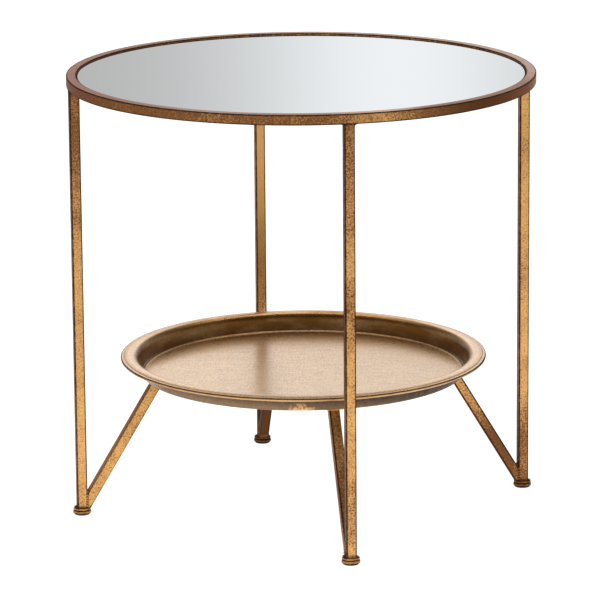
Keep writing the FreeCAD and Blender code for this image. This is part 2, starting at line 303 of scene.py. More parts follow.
class PaneSizes(bpy.types.PropertyGroup):
    """The mirror pane and the soft dots under it."""

    arris: size("Arris", "Width of the ground arris on the pane's edges", 0.0006)
    dot_round: size("Dot round-over", "Radius of the rim of a soft dot", 0.0005)
    dot_radius: size("Dot radius", "Radius of a soft dot", 0.005)
    dots: count("Dots", "Number of soft dots", 6)
    dot_turn_share: share("Dot turn", "Turn of the first dot, as a part of the step between dots", 0.25)
    rings: count("Pane rings", "Rings across the pane's faces", 6)
    turns: count("Pane steps", "Sections round the pane", 192)
    dot_turns: count("Dot steps", "Sections round a soft dot", 32)
    dot_rim_steps: count("Dot rim steps", "Points on each rounded rim of a soft dot", 5)


class FinishColours(bpy.types.PropertyGroup):
    """The colours of the antique finish, in linear light."""

    gold_light: colour("Light gold", "Leaf where it is brightest", (0.92, 0.50, 0.165))
    gold_deep: colour("Deep gold", "Leaf where the glaze has toned it down", (0.36, 0.15, 0.047))
    # also the colour of the film of painted shade where the tone is deepest
    glaze_and_shade: colour("Brown glaze", "Specks and patches of the brown glaze", (0.09, 0.034, 0.011))
    # also the colour of the painted shade on the tubes' shaded sides and on the tray's hem and outside
    glaze_and_shade_line: colour("Glaze line", "The dark glaze along edges and seams", (0.04, 0.015, 0.006))
    tray_pale: colour("Pale bronze", "The tray's satin floor and flange", (0.84, 0.50, 0.19))
    # darker bronze laid on the wall, most at its foot, and on the glazed and painted-shade parts
    tray_deep: colour("Deep bronze", "The tray's wall, where the lacquer is thicker", (0.40, 0.17, 0.030))
    # painted highlight on the tray's bead crest, the flange and the ledge
    tray_highlight: colour("Rubbed bronze", "Crests of the tray that are rubbed bright", (1.0, 0.66, 0.38))
    tray_outside: colour("Plain bronze", "The tray's outer face under its rim", (0.28, 0.185, 0.107))
    silver: colour("Silvering", "The mirror's reflection", (0.95, 0.965, 0.965))
    glass_edge: colour("Glass edge", "The pane's ground edge", (0.30, 0.42, 0.38))
    board: colour("Board", "The board behind the mirror", (0.055, 0.042, 0.032))
    zinc: colour("Zinc", "The plated studs and nuts", (0.62, 0.63, 0.64))
    rubber: colour("Rubber", "The pads under the feet", (0.012, 0.011, 0.010))
    clear_rubber: colour("Clear rubber", "The soft dots under the mirror", (0.75, 0.76, 0.74))
    paper: colour("Paper", "The studio floor", (0.95, 0.95, 0.95))


class StageValues(bpy.types.PropertyGroup):
    """The camera, the studio floor and its light."""

    azimuth: angle("Azimuth", "Turn of the camera about the table", -11.162)
    elevation: angle("Elevation", "Height of the camera above the horizon", 13.341)
    roll: angle("Roll", "Turn of the camera about its own axis", -0.459)
    distance: size("Distance", "Distance from the camera to the aim", 5.21)
    aim_right: size("Aim to the right", "Aim beside the table's axis, as the camera sees it", -0.0036)
    aim_height: size("Aim height", "Height of the aim above the floor", 0.2596)
    lens: number("Lens", "Focal length in millimetres, on a sensor 36 mm wide", 250.04)
    floor_half: size("Floor reach", "Half the side of the studio floor", 30)
    side_white: size("White width", "How far the floor stays white to each side of the table", 0.70)
    side_fade: size("Faded width", "Where the floor beside the table has faded to grey", 2.60)
    front_white: size("White depth", "How far the floor stays white in front of the table", 1.30)
    front_fade: size("Faded depth", "Where the floor in front of the table has faded to grey", 3.60)
    pool_right: size("Pool to the right", "Middle of the pool of light, to the camera's right", 1.20)
    pool_front: size("Pool in front", "Middle of the pool of light, towards the camera", 1.75)
    pool_white: size("Pool reach", "How far the pool of light stays white", 0.45)
    pool_fade: size("Pool fade", "Where the pool of light has faded to grey", 0.80)
    floor_grey_share: share("Faded floor", "Brightness of the faded floor, as a part of the white", 0.45)
    floor_glow: number("Floor glow", "Light that the lit white floor gives by itself", 1.05)
    floor_shade_share: share("Floor shade", "How much of the studio's light the lit floor takes up", 0.72)
    sheet_half: angle("Sheet width", "Half the angle that the white sheet behind the table fills", 17)
    sheet_edge: angle("Sheet edge", "Angle over which the sheet's edge fades", 5)
    strip_place: number("Strip place", "Sideways direction of the soft strip behind the table", 0.0244)
    strip_width: number("Strip width", "Sideways spread of the soft strip behind the table", 0.030)
    top_power: number("Top light", "Power of the soft light overhead, in watts", 45)
    top_side: size("Top light side", "Side of the soft light overhead", 3)
    top_height: size("Top light height", "Height of the soft light overhead", 3.2)


class AccentTable(bpy.types.PropertyGroup):
    """All the settings of the table."""

    tube: bpy.props.PointerProperty(type=TubeSizes)
    tray: bpy.props.PointerProperty(type=TraySizes)
    foot: bpy.props.PointerProperty(type=FootSizes)
    pane: bpy.props.PointerProperty(type=PaneSizes)
    colours: bpy.props.PointerProperty(type=FinishColours)
    stage: bpy.props.PointerProperty(type=StageValues)


def settings():
    """The table's settings in the open scene."""
    return bpy.context.scene.accent_table


# Shells: closed surfaces on a grid of two parameters

def shell(points, glaze_and_shade=0.0, ring=False, polish_and_highlight=0.0):
    """Corners, faces, the glaze and painted shade, and the polish and painted highlight of one closed shell.

    points is a grid of rows by columns. Columns always run round and join. A ring's rows join as well;
    otherwise each end row is closed by a fan about its mean. Faces are turned outward by the sign of the
    volume that they enclose, which is a sixth of the sum of triple products of their corners.
    """
    rows, columns = points.shape[:2]
    paint = np.stack([np.broadcast_to(value, (rows, columns)) for value in (glaze_and_shade, polish_and_highlight)], axis=-1)
    row, column = np.meshgrid(np.arange(rows if ring else rows - 1), np.arange(columns), indexing="ij")
    here = row * columns
    below = (row + 1) % rows * columns
    beside = (column + 1) % columns
    corners = [here + column, below + column, below + beside, here + beside]
    quads = np.stack(corners, axis=-1).reshape(-1, 4)
    spots = points.reshape(-1, 3)
    tone = paint.reshape(-1, 2)
    fans = np.zeros((0, 3), int)
    if not ring:
        around = np.arange(columns)
        onward = (around + 1) % columns
        first = np.stack([np.full(columns, rows * columns), around, onward], axis=-1)
        last = np.stack([np.full(columns, rows * columns + 1), onward, around], axis=-1)
        last[:, 1:] += (rows - 1) * columns
        fans = np.concatenate([first, last])
        spots = np.concatenate([spots, points[[0, -1]].mean(axis=1)])
        tone = np.concatenate([tone, paint[[0, -1]].mean(axis=1)])
    triangles = np.concatenate([quads[:, [0, 1, 2]], quads[:, [0, 2, 3]], fans])
    a, b, c = (spots[triangles[:, corner]] for corner in range(3))
    if np.einsum("ij,ij->", a, np.cross(b, c)) < 0:
        quads = quads[:, ::-1]
        fans = fans[:, ::-1]
    return spots, quads, fans, tone


def bell(distance, reach):
    """A bell curve of a distance: 1 at none, and e to the power of minus a half at the reach."""
    return np.exp(-0.5 * (distance / reach) ** 2)


def turn_between(bearing, middle):
    """The angle from a middle to a bearing, from minus half a turn to half a turn."""
    return (bearing - middle + math.pi) % (2 * math.pi) - math.pi


def tone_and_light_patches(spots):
    """How much darker the finish is at each spot, as a sum of bell curves about the middles of the patches.
    The patches are partly the finish's own uneven tone and partly painted shade and painted highlights.

    Spots on the braces, which lie inside the circle of the legs, go from one depth at the foot to another at
    the tray.
    """
    bearing = np.arctan2(spots[:, 1], spots[:, 0])
    inside = np.hypot(spots[:, 0], spots[:, 1]) < LEG_INNER_FACE - TUBE_SIDE / 2
    below_hoop = spots[:, 2] < HOOP_LOW.z
    up_brace = np.clip((spots[:, 2] - BRACE_LOW.z) / (BRACE_HIGH.z - BRACE_LOW.z), 0, 1)
    away = {side: turn_between(bearing, step * QUARTER) for step, side in enumerate(SIDES)}
    near = {side: np.abs(turn) < QUARTER / 2 for side, turn in away.items()}
    tone_and_light = np.zeros(len(spots))
    for side, at_foot, at_head in BRACE_TONE_AND_SHADE:
        tone_and_light = tone_and_light + (at_foot + (at_head - at_foot) * up_brace) * inside * near[side]
    for side, height, reach, strength in LEG_TONE_AND_LIGHT:
        tone_and_light = tone_and_light + strength * near[side] * below_hoop * bell(spots[:, 2] - height, reach)
    for degrees, reach, strength in HOOP_PAINTED_LIGHT:
        along = turn_between(bearing, math.radians(degrees)) * TABLE_RADIUS
        tone_and_light = tone_and_light + strength * ~below_hoop * bell(along, reach)
    return tone_and_light


def add_object(name, data):
    """An object of the scene that shows the given data."""
    item = bpy.data.objects.new(name, data)
    bpy.context.scene.collection.objects.link(item)
    return item


def make_piece(name, shells, material, body, nodes, crease=SOFT_CREASE):
    """One object from its shells, smooth up to the crease, with attributes of glaze and painted shade, of
    polish and painted highlight, and of tone and painted light.
    """
    spots, faces, tones = [], [], []
    start = 0
    for points, quads, fans, tone in shells:
        spots.append(points)
        tones.append(tone)
        faces += (quads + start).tolist() + (fans + start).tolist()
        start += len(points)
    spots = np.concatenate(spots)
    mesh = bpy.data.meshes.new(name)
    mesh.from_pydata(spots.tolist(), [], faces)
    glaze_and_shade, polish_and_highlight = np.concatenate(tones).T
    for label, values in (("glaze_and_shade", glaze_and_shade), ("polish_and_highlight", polish_and_highlight), ("tone_and_light", tone_and_light_patches(spots))):
        mesh.attributes.new(label, "FLOAT", "POINT").data.foreach_set("value", values.astype(np.float32))
    mesh.shade_smooth()
    mesh.set_sharp_from_angle(angle=crease)
    mesh.materials.append(material)
    piece = add_object(name, mesh)
    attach(piece, body)
    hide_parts(*nodes)


def turned_to_side(points, step):
    """Points on the +X side, turned by a number of quarters about the table's axis."""
    cosine, sine = math.cos(step * QUARTER), math.sin(step * QUARTER)
    turn = np.array([[cosine, sine, 0], [-sine, cosine, 0], [0, 0, 1]])
    return points @ turn


def all_round(steps):
    """Angles of a number of even steps round a circle."""
    return np.linspace(0, 2 * math.pi, steps, endpoint=False)


def about_axis(reach, turn, height, x=0.0):
    """A grid of points at a reach, a turn and a height about an upright axis at x."""
    places = np.broadcast_arrays(x + reach * np.cos(turn), reach * np.sin(turn), height)
    return np.stack(places, axis=-1)


def at_height(across, height):
    """Points of an outline that lie across at one height."""
    return np.stack([across, np.full(len(across), height)], axis=-1)


def run_along(path):
    """The distance along a path from its start to each of its points."""
    stride = np.linalg.norm(np.diff(path, axis=0), axis=1)
    return np.concatenate([[0], np.cumsum(stride)])


def turned(profile, steps, x=0.0):
    """A profile of radius and height carried round an upright axis at x: rows along it, columns round."""
    return about_axis(profile[:, :1], all_round(steps), profile[:, 1:], x)


def rounded_rim(radius, height, round_over, steps, rising):
    """A quarter circle at the rim of a turned profile, from the flat face to the side or, rising, back."""
    swing = np.linspace(0, QUARTER, steps)
    outward = radius - round_over + round_over * np.sin(swing)
    level = height - round_over + round_over * np.cos(swing)
    rim = np.stack([outward, level], axis=-1)
    if rising:
        rim[:, 1] = 2 * height - rim[:, 1]
    return rim


def square_section(tube):
    """A square with round corners, as an outline and its glaze.

    Each quarter is the corner's arc followed by points on the flat. The glaze is 1 on the arc and dies away
    along the flat, most of it within the width of the glaze line.
    """
    near_shares, fade_shares = np.array([0.5, 1.0, 2.0]), [0.55, 0.12, 0]
    half = TUBE_SIDE / 2
    flat = half - tube.corner
    swing = np.linspace(0, QUARTER, tube.corner_steps)
    arc = np.stack([flat + tube.corner * np.cos(swing), flat + tube.corner * np.sin(swing)], axis=-1)
    near = near_shares * tube.line_width
    away = np.concatenate([near, [flat], 2 * flat - near[::-1]])
    side = at_height(flat - away, half)
    glaze_and_shade = np.concatenate([np.ones(len(arc)), fade_shares, [0], fade_shares[::-1]])
    turns = [np.concatenate([arc, side])]
    for _ in range(3):
        x, y = turns[-1].T
        turns.append(np.stack([-y, x], axis=-1))
    return np.concatenate(turns), np.tile(glaze_and_shade, 4)


def on_face(tube, outward):
    """1 where a tube's outline stands out furthest one way, falling to 0 round the corners of that face."""
    corners_past = (outward - TUBE_SIDE / 2) / tube.corner
    return np.clip(corners_past + FACE_FADE, 0, 1)


def shaded_side(tube, outline, step):
    """1 on the face of a tube that looks to the shaded side once the tube is turned, 0 elsewhere: where
    painted shade lies.
    """
    looks = turned_to_side(np.column_stack([outline, np.zeros(len(outline))]), step) @ SHADED_WAY
    return on_face(tube, looks)


def wander(places, wave, seed):
    """A smooth value from -1 to 1 along places, as the mean of waves of seeded length and phase."""
    draw = np.random.default_rng(seed)
    stretch = draw.uniform(*WAVE_STRETCH, WAVES)
    phase = draw.uniform(0, 2 * math.pi, WAVES)
    return np.mean([np.sin(2 * math.pi * s * places / wave + p) for s, p in zip(stretch, phase)], axis=0)


def hollow_flare(distance, radius):
    """How far a hollow weld of that radius stands out at a distance from the face that it rests on."""
    reach = np.clip(radius - distance, 0, radius)
    return radius - np.sqrt(radius ** 2 - reach ** 2)


# Hoop, legs and braces

def hoop_shell(tube):
    """The square section carried round the table's axis; its faces wander a little, as rolled tube does."""
    outline, glaze_and_shade = square_section(tube)
    turn = all_round(tube.turns)[:, None]
    sway = tube.sway * wander(turn * LEG_RADIUS, tube.sway_wave, HOOP_SEED)
    centre_height = (HOOP_LOW.z + HOOP_HIGH.z) / 2
    grid = about_axis(LEG_RADIUS + outline[:, 0] + sway, turn, centre_height + outline[:, 1])
    return shell(grid, glaze_and_shade, ring=True, polish_and_highlight=on_face(tube, outline[:, 1]))


def leg_shell(tube, step):
    """The square section carried up a leg, flaring into a hollow weld under the hoop and on the foot.

    The upper weld widens the tube only along the hoop. The lower one widens it all round, unevenly. Glaze
    gathers at both welds, and painted shade lies on the shaded side.
    """
    outline, glaze_and_shade = square_section(tube)
    bottom, top = LEG_LOW.z, HOOP_LOW.z
    welds = max(tube.hoop_weld, tube.foot_weld)
    fine = np.linspace(0, welds, tube.weld_steps)
    middle = np.linspace(bottom + welds, top - welds, tube.lengths)[1:-1]
    height = np.concatenate([bottom + fine, middle, top - fine[::-1]])[:, None]
    upper = hollow_flare(top - height, tube.hoop_weld)
    lower = hollow_flare(height - bottom, tube.foot_weld)
    bearing = np.arctan2(outline[:, 1], outline[:, 0])
    uneven = wander(bearing * TUBE_SIDE, TUBE_SIDE, WELD_SEED + step)
    lower = lower * (1 + tube.weld_uneven_share * uneven)
    sway = 1 + tube.sway / TUBE_SIDE * wander(height, tube.sway_wave, LEG_SEED + step)
    across = np.clip(outline / (TUBE_SIDE / 2), -1, 1)
    x = LEG_RADIUS + outline[:, 0] * sway + across[:, 0] * lower
    y = outline[:, 1] * sway + across[:, 1] * (lower + upper)
    at_foot = np.exp(-(height - bottom) / tube.foot_weld)
    at_hoop = HOOP_WELD_SHARE * np.exp(-(top - height) / tube.hoop_weld)
    # painted shade on the leg's shaded side
    on_side = tube.side_shade_share * shaded_side(tube, outline, step)
    tone = np.clip(glaze_and_shade + at_foot + at_hoop + on_side, 0, 1)
    grid = np.stack([x, y, np.broadcast_to(height, x.shape)], axis=-1)
    return shell(turned_to_side(grid, step), tone)


def brace_line(tube):
    """Foot point and direction of the middle line of the brace on +X, and its lean from upright.

    The head stands in from the brace's inner corner by half the tube's width along the level cut, which
    depends on the lean, so the two are worked out in turn until they agree.
    """
    foot = np.array([LEG_RADIUS, 0, tube.brace_aim])
    head = np.array([BRACE_LOW.x, 0, BRACE_HIGH.z])
    for _ in range(LEAN_ROUNDS):
        lean = math.atan2(foot[0] - head[0], head[2] - foot[2])
        head[0] = BRACE_LOW.x + TUBE_SIDE / 2 / math.cos(lean)
    along = (head - foot) / np.linalg.norm(head - foot)
    return foot, along, math.acos(along[2])


def brace_shell(tube, step):
    """The square section carried up the raking line.

    Each line of the tube starts where it leaves the leg's inner face or the foot's flange, whichever is
    later, and ends in the plane under the tray's tab. Glaze gathers at the toe and on the edges, more of it
    on the edges of one side of the tube, and painted shade lies on the shaded side.
    """
    outline, glaze_and_shade = square_section(tube)
    foot, along, _ = brace_line(tube)
    across = np.array([along[2], 0, -along[0]])
    sideways = np.array([0, 1, 0])
    base = foot + outline[:, :1] * across + outline[:, 1:] * sideways
    to_leg = (LEG_INNER_FACE - base[:, 0]) / along[0]
    to_flange = (BRACE_LOW.z - base[:, 2]) / along[2]
    start = np.maximum(to_leg, to_flange)
    end = (BRACE_HIGH.z - base[:, 2]) / along[2]
    part = np.linspace(0, 1, tube.lengths)[:, None]
    run = start + (end - start) * part
    grid = base + run[..., None] * along
    grid[..., 1] *= 1 + tube.sway / TUBE_SIDE * wander(run, tube.sway_wave, BRACE_SEED + step)
    toe = BRACE_TOE_SHARE * np.exp(-(run - start) / tube.foot_weld)
    edge_side_weight = np.where(outline[:, 1] < 0, 1, BRACE_OTHER_SIDE_SHARE)
    # painted shade on the brace's shaded side
    on_side = BRACE_SIDE_SHARE * tube.side_shade_share * shaded_side(tube, outline, step)
    tone = np.clip(edge_side_weight * (BRACE_EDGE_GLAZE * glaze_and_shade + on_side) + toe, 0, 1)
    return shell(turned_to_side(grid, step), tone)


def bead_shell(path, radius, tube, seed):
    """A weld bead: circles carried along a path, swelling with each ripple and wandering in size.

    The bead closes in a round end at both ends of the path. Glaze lies between the ripples and their crests
    are rubbed.
    """
    run = run_along(path)
    ripple = np.cos(2 * math.pi * run / tube.bead_pitch)
    uneven = wander(run, BEAD_WAVE * tube.bead_pitch, seed)
    swell = (1 + tube.bead_ripple_share * ripple) * (1 + BEAD_UNEVEN_SHARE * uneven)
    ends = np.minimum(run, run[-1] - run) / radius
    swell = swell * np.sqrt(np.clip(ends * (2 - np.clip(ends, 0, 1)), BEAD_TIP_SHARE, 1))
    ahead = np.gradient(path, axis=0)
    ahead /= np.linalg.norm(ahead, axis=1, keepdims=True)
    beside = np.cross(ahead, ASKEW)
    beside /= np.linalg.norm(beside, axis=1, keepdims=True)
    upward = np.cross(ahead, beside)
    turn = all_round(tube.bead_turns)[:, None]
    reach = (radius * swell)[:, None, None]
    grid = path[:, None] + reach * (np.cos(turn) * beside[:, None] + np.sin(turn) * upward[:, None])
    glaze_and_shade = np.clip(BEAD_GLAZE_SHARE - BEAD_HOLLOW_SHARE * ripple, 0, 1)
    return shell(grid, glaze_and_shade[:, None], polish_and_highlight=np.clip(ripple, 0, 1)[:, None])


def brace_beads(tube, step):
    """The two beads up the seam of a leg and its brace, one on each side, and the fill across the crotch."""
    foot, _, lean = brace_line(tube)
    meeting = foot[2] + (foot[0] - LEG_INNER_FACE) / math.tan(lean)
    crotch = meeting + TUBE_SIDE / 2 / math.sin(lean)
    height = np.linspace(BRACE_LOW.z, crotch, tube.bead_steps)
    beads = []
    for side in (-1, 1):
        seed = BEAD_SEED + 2 * step + (side > 0)
        drift = SEAM_DRIFT_SHARE * tube.bead * wander(height, SEAM_WAVE * tube.bead_pitch, seed)
        edge = np.full(len(height), side * (TUBE_SIDE / 2 - SEAM_SINK_SHARE * tube.bead))
        path = np.stack([LEG_INNER_FACE + drift, edge, height], axis=-1)
        beads.append(bead_shell(turned_to_side(path, step), tube.bead, tube, seed))
    across = np.linspace(-1, 1, tube.fill_steps) * (TUBE_SIDE / 2 - tube.corner)
    fill = tube.brace_weld / 2 * math.sin(lean)
    inward = np.full(len(across), LEG_INNER_FACE - fill / 2)
    path = np.stack([inward, across, np.full(len(across), crotch + fill)], axis=-1)
    beads.append(bead_shell(turned_to_side(path, step), fill, tube, CROTCH_SEED + step))
    return beads


# Tray

def sheet_line(start, moves, steps):
    """Points along the middle of a bent sheet and the way its upper face looks at each of them.

    Each move is a straight run, then a turn about a bend of a given radius, upward if positive.
    """
    here = np.array(start, float)
    heading = 0.0
    points, normals = [], []
    for run, turn, bend in moves:
        ahead = here + run * np.array([math.cos(heading), math.sin(heading)])
        normal = np.array([-math.sin(heading), math.cos(heading)])
        if run:
            points.append(np.stack([here, ahead]))
            normals.append(np.stack([normal, normal]))
        here = ahead
        if turn:
            way = math.copysign(1, turn)
            pivot = here + normal * bend * way
            swing = heading + np.linspace(0, turn, steps)
            looks = np.stack([-np.sin(swing), np.cos(swing)], axis=-1)
            points.append((pivot - looks * bend * way)[1:])
            normals.append(looks[1:])
            heading += turn
            here = points[-1][-1]
    return np.concatenate(points), np.concatenate(normals)


def tray_section(tray):
    """The middle line of the pressed sheet, the way it looks, and the places where its parts start.

    The section runs from the floor over the bead, the groove, the wall, the shoulder, the flange and a step
    down to a narrow ledge and the hemmed rim. The widths of the parts, taken off the rim's radius, give the
    foot of the wall and the edge of the floor.
    """
    fall, steep = tray.flange_fall, tray.wall_slope
    bead_turn = 2 * math.atan(2 * tray.bead_height / tray.bead_width)
    bead_bend = tray.bead_width / (4 * math.sin(bead_turn))
    shoulder_width = tray.shoulder_bend * (math.sin(steep) + math.sin(fall))
    shoulder_rise = tray.shoulder_bend * (1 - math.cos(steep))
    foot_width = tray.foot_bend * math.sin(steep)
    foot_rise = tray.foot_bend * (1 - math.cos(steep))
    depth = TRAY_HIGH.z - TRAY_LOW.z - tray.sheet
    wall_rise = depth - foot_rise - shoulder_rise
    hem_width = tray.hem_bend * (1 - math.sin(fall)) + tray.sheet / 2
    step_slope = fall + tray.step_angle
    step_run = tray.step_drop - 2 * tray.step_bend * (math.cos(fall) - math.cos(step_slope))
    step_run /= math.sin(step_slope)
    step_width = 2 * tray.step_bend * (math.sin(step_slope) - math.sin(fall))
    step_width += step_run * math.cos(step_slope)
    hem_start = TRAY_HIGH.x - hem_width
    flange_end = hem_start - tray.ledge - step_width
    wall_foot = flange_end - tray.flange - shoulder_width - foot_width - wall_rise / math.tan(steep)
    floor_edge = wall_foot - tray.groove - tray.bead_width
    moves = [
        (0, bead_turn, bead_bend),
        (0, -2 * bead_turn, bead_bend),
        (0, bead_turn, bead_bend),
        (tray.groove, steep, tray.foot_bend),
        (wall_rise / math.sin(steep), -steep - fall, tray.shoulder_bend),
        (tray.flange / math.cos(fall), -tray.step_angle, tray.step_bend),
        (step_run, tray.step_angle, tray.step_bend),
        (tray.ledge / math.cos(fall), -math.pi, tray.hem_bend),
        (tray.hem_return, 0, 0),
    ]
    level = TRAY_LOW.z + tray.sheet / 2
    line, looks = sheet_line((floor_edge, level), moves, tray.bend_steps)
    floor = np.linspace(FLOOR_MIDDLE_SHARE, 1, tray.floor_steps) * floor_edge
    line = np.concatenate([at_height(floor, level), line])
    looks = np.concatenate([np.tile([0.0, 1.0], (len(floor), 1)), looks])
    places = {
        "floor_edge": floor_edge, "wall_foot": wall_foot, "flange_start": wall_foot + shoulder_width,
        "flange_end": flange_end, "hem_start": hem_start, "level": level, "depth": depth,
    }
    return line, looks, places


def fading(value, edge, fade):
    """1 where a value is well under an edge, 0 above it, and between them over the fade."""
    return np.clip((edge - value) / fade, 0, 1)


def tray_paint(tray, line, looks, places):
    """Glaze and painted shade, and painted highlights, of the tray's upper face, then of its lower face,
    each by points and turns.

    Glaze is full in the groove. Painted shade is full where the hem begins to roll and under the hem. The
    wall is darker, most at its foot and less upward. The flange carries painted shade round one place, and
    the hem's roll carries painted shade all round but for a stretch at the front. On the lower face the value
    is given as negative, which the finish takes as the plainer outside, with painted shade deepening towards
    the rim, by the hem and round one place. The bead's crest, the flange's outer edge, the flange and the
    ledge carry painted highlights, and so does a patch low on the outside.
    """
    radius, upward = line[:, 0], looks[:, 1]
    run = run_along(line)
    rise = np.clip((line[:, 1] - places["level"]) / places["depth"], 0, 1)
    on_hem = radius > places["hem_start"]
    past_flange = radius > places["flange_end"]
    past_wall_foot = radius > places["wall_foot"]
    turn = all_round(tray.turns)

    def around(middle, reach):
        along = turn_between(turn, middle) * places["wall_foot"]
        return np.exp(-(along / reach) ** 2)

    from_groove = np.abs(radius - places["wall_foot"]) + np.abs(line[:, 1] - places["level"])
    groove = np.exp(-np.abs(run - run[np.argmin(from_groove)]) / tray.foot_bend)
    # painted shadow under the hem, a painted dark line where the hem rolls, and painted shade on the roll
    under_hem_shade = np.clip((run - run[-1]) / tray.hem_return + 1 + UNDER_HEM_SHADE_SHARE, 0, 1)
    hem_shade_line = on_hem * (upward > HEM_SHADE_END) * fading(upward, math.cos(tray.flange_fall), HEM_SHADE_FADE)
    steepness = fading(upward, WALL_LOOK, WALL_FADE) * (upward > 0)
    on_wall = (WALL_FOOT_SHARE - WALL_UPWARD_SHARE * rise) * steepness * past_wall_foot * ~past_flange
    on_flange = (radius > places["flange_start"]) * (upward > FLANGE_LOOK)
    roll = on_hem * (upward < ROLL_LOOK) * (run < run[-1] - tray.hem_return)
    roll_shade = ROLL_SHADE_SHARE * roll[:, None] * (1 - around(tray.hem_unshaded_place, tray.hem_unshaded_reach))
    # painted shade on the flange round one place at the back
    rim_shade = tray.rim_shade_share * on_flange[:, None] * around(tray.rim_shade_place, tray.rim_shade_reach)
    seams = np.max([groove, under_hem_shade, hem_shade_line, on_wall], axis=0)[:, None]
    inside = np.max(np.broadcast_arrays(seams, roll_shade, rim_shade), axis=0)
    shade = tray.outer_shade_share * around(tray.shade_place, tray.shade_reach)
    # painted shade on the outside: deeper upward under the rim, by the hem, and round one place
    plain = OUTSIDE_SHARE + OUTSIDE_RISE_SHARE * rise + OUTSIDE_HEM_SHARE * under_hem_shade
    outside = -np.clip(plain[:, None] + shade, OUTSIDE_LEAST_SHARE, 1)

    # painted highlights: the bead's crest, the flange's outer edge, the flange and the ledge
    bead = (radius - places["floor_edge"] - tray.bead_width / 2) / (CREST_SHARE * tray.bead_width)
    brow = (radius - places["flange_end"]) / tray.step_bend
    crest = np.maximum(np.exp(-bead ** 2), np.exp(-brow ** 2) * ~past_flange)
    ledge = LEDGE_HIGHLIGHT_SHARE * past_flange * ~on_hem
    crest = np.max([crest, FLANGE_HIGHLIGHT_SHARE * on_flange, ledge], axis=0)
    # painted highlight: a patch low on the outside at the front
    low = np.exp(-rise / LOW_HIGHLIGHT_RISE_SHARE) * (radius > places["wall_foot"] - tray.foot_bend) * ~past_flange
    low_highlight = low[:, None] * around(tray.low_highlight_place, tray.low_highlight_reach)
    return inside, np.broadcast_to(crest[:, None], inside.shape), outside, low_highlight


def tray_shell(tray):
    """The pressed section turned about the table's axis.

    The upper face stands half a sheet above the middle line and the lower face half below. The floor wanders
    by the sum of seeded waves in x and in y, as thin pressed sheet does, and lies true along its edge.
    """
    line, looks, places = tray_section(tray)
    half = tray.sheet / 2
    grid = turned(np.concatenate([line + looks * half, (line - looks * half)[::-1]]), tray.turns)
    from_edge = 1 - np.hypot(grid[..., 0], grid[..., 1]) / places["floor_edge"]
    loose = np.clip(from_edge, 0, TRUE_EDGE_SHARE) / TRUE_EDGE_SHARE
    dents = sum(wander(grid[..., axis], tray.dent_wave, seed) for axis, seed in enumerate(FLOOR_SEEDS))
    grid[..., 2] += tray.dent * loose * dents
    inside, crest, outside, low_highlight = tray_paint(tray, line, looks, places)
    glaze_and_shade = np.concatenate([inside, outside[::-1]])
    return shell(grid, glaze_and_shade, polish_and_highlight=np.concatenate([crest, low_highlight[::-1]]))


# Mirror, feet and fasteners

def pane_shell(pane):
    """A round pane with ground arrises, turned about the table's axis. Only its upper face is silver."""
    radius, bottom, top = PANE_HIGH.x, PANE_LOW.z, PANE_HIGH.z
    face = np.linspace(PANE_MIDDLE_SHARE, 1, pane.rings)
    inner = radius - pane.arris
    upper = at_height(face * inner, top)
    edge = np.array([[radius, top - pane.arris], [radius, bottom + pane.arris], [inner, bottom]])
    lower = at_height(face[::-1][1:] * inner, bottom)
    profile = np.concatenate([upper, edge, lower])
    tone = np.concatenate([np.zeros(pane.rings), np.ones(len(profile) - pane.rings)])
    return shell(turned(profile, pane.turns), tone[:, None])


def dot_shells(pane):
    """Low round dots with a soft rim, evenly spaced round the middle of the ledge."""
    lower = rounded_rim(pane.dot_radius, DOT_LOW.z, pane.dot_round, pane.dot_rim_steps, rising=True)
    upper = rounded_rim(pane.dot_radius, DOT_HIGH.z, pane.dot_round, pane.dot_rim_steps, rising=False)
    dot = turned(np.concatenate([lower, upper[::-1]]), pane.dot_turns)
    place_radius = (LEDGE_HIGH.x + ledge_inner()) / 2
    turns = 2 * math.pi * (np.arange(pane.dots) + pane.dot_turn_share) / pane.dots
    return [shell(dot + place_radius * np.array([math.cos(turn), math.sin(turn), 0])) for turn in turns]


def ledge_inner():
    """Inner radius of the ledge, from its corners."""
    corners = np.array([vertex.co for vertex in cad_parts["glass_ledge"].data.vertices])
    return np.hypot(corners[:, 0], corners[:, 1]).min()


def threaded(radius, depth, pitch, bottom, top, foot, x):
    """A threaded rod: its radius falls by the depth and rises again once in each pitch, along a helix.

    The place in the thread is the height over the pitch less the turn. The flanks are straight between a flat
    crest and a flat root, and the rod tapers at its upper end over one depth.
    """
    rows = max(2, round((top - bottom) / pitch * foot.rows_per_turn))
    height = np.linspace(bottom, top, rows)[:, None]
    turn = all_round(foot.turns // 2)
    in_thread = (height / pitch - turn / (2 * math.pi)) % 1
    crest = np.clip(FLANK_SLOPE * np.abs(2 * in_thread - 1) - ROOT_FLAT_SHARE, 0, 1)
    taper = np.minimum(1, TIP_SHARE + (1 - TIP_SHARE) * (top - height) / depth)
    reach = (radius - depth * (1 - crest)) * taper
    return about_axis(reach, turn, height, x)


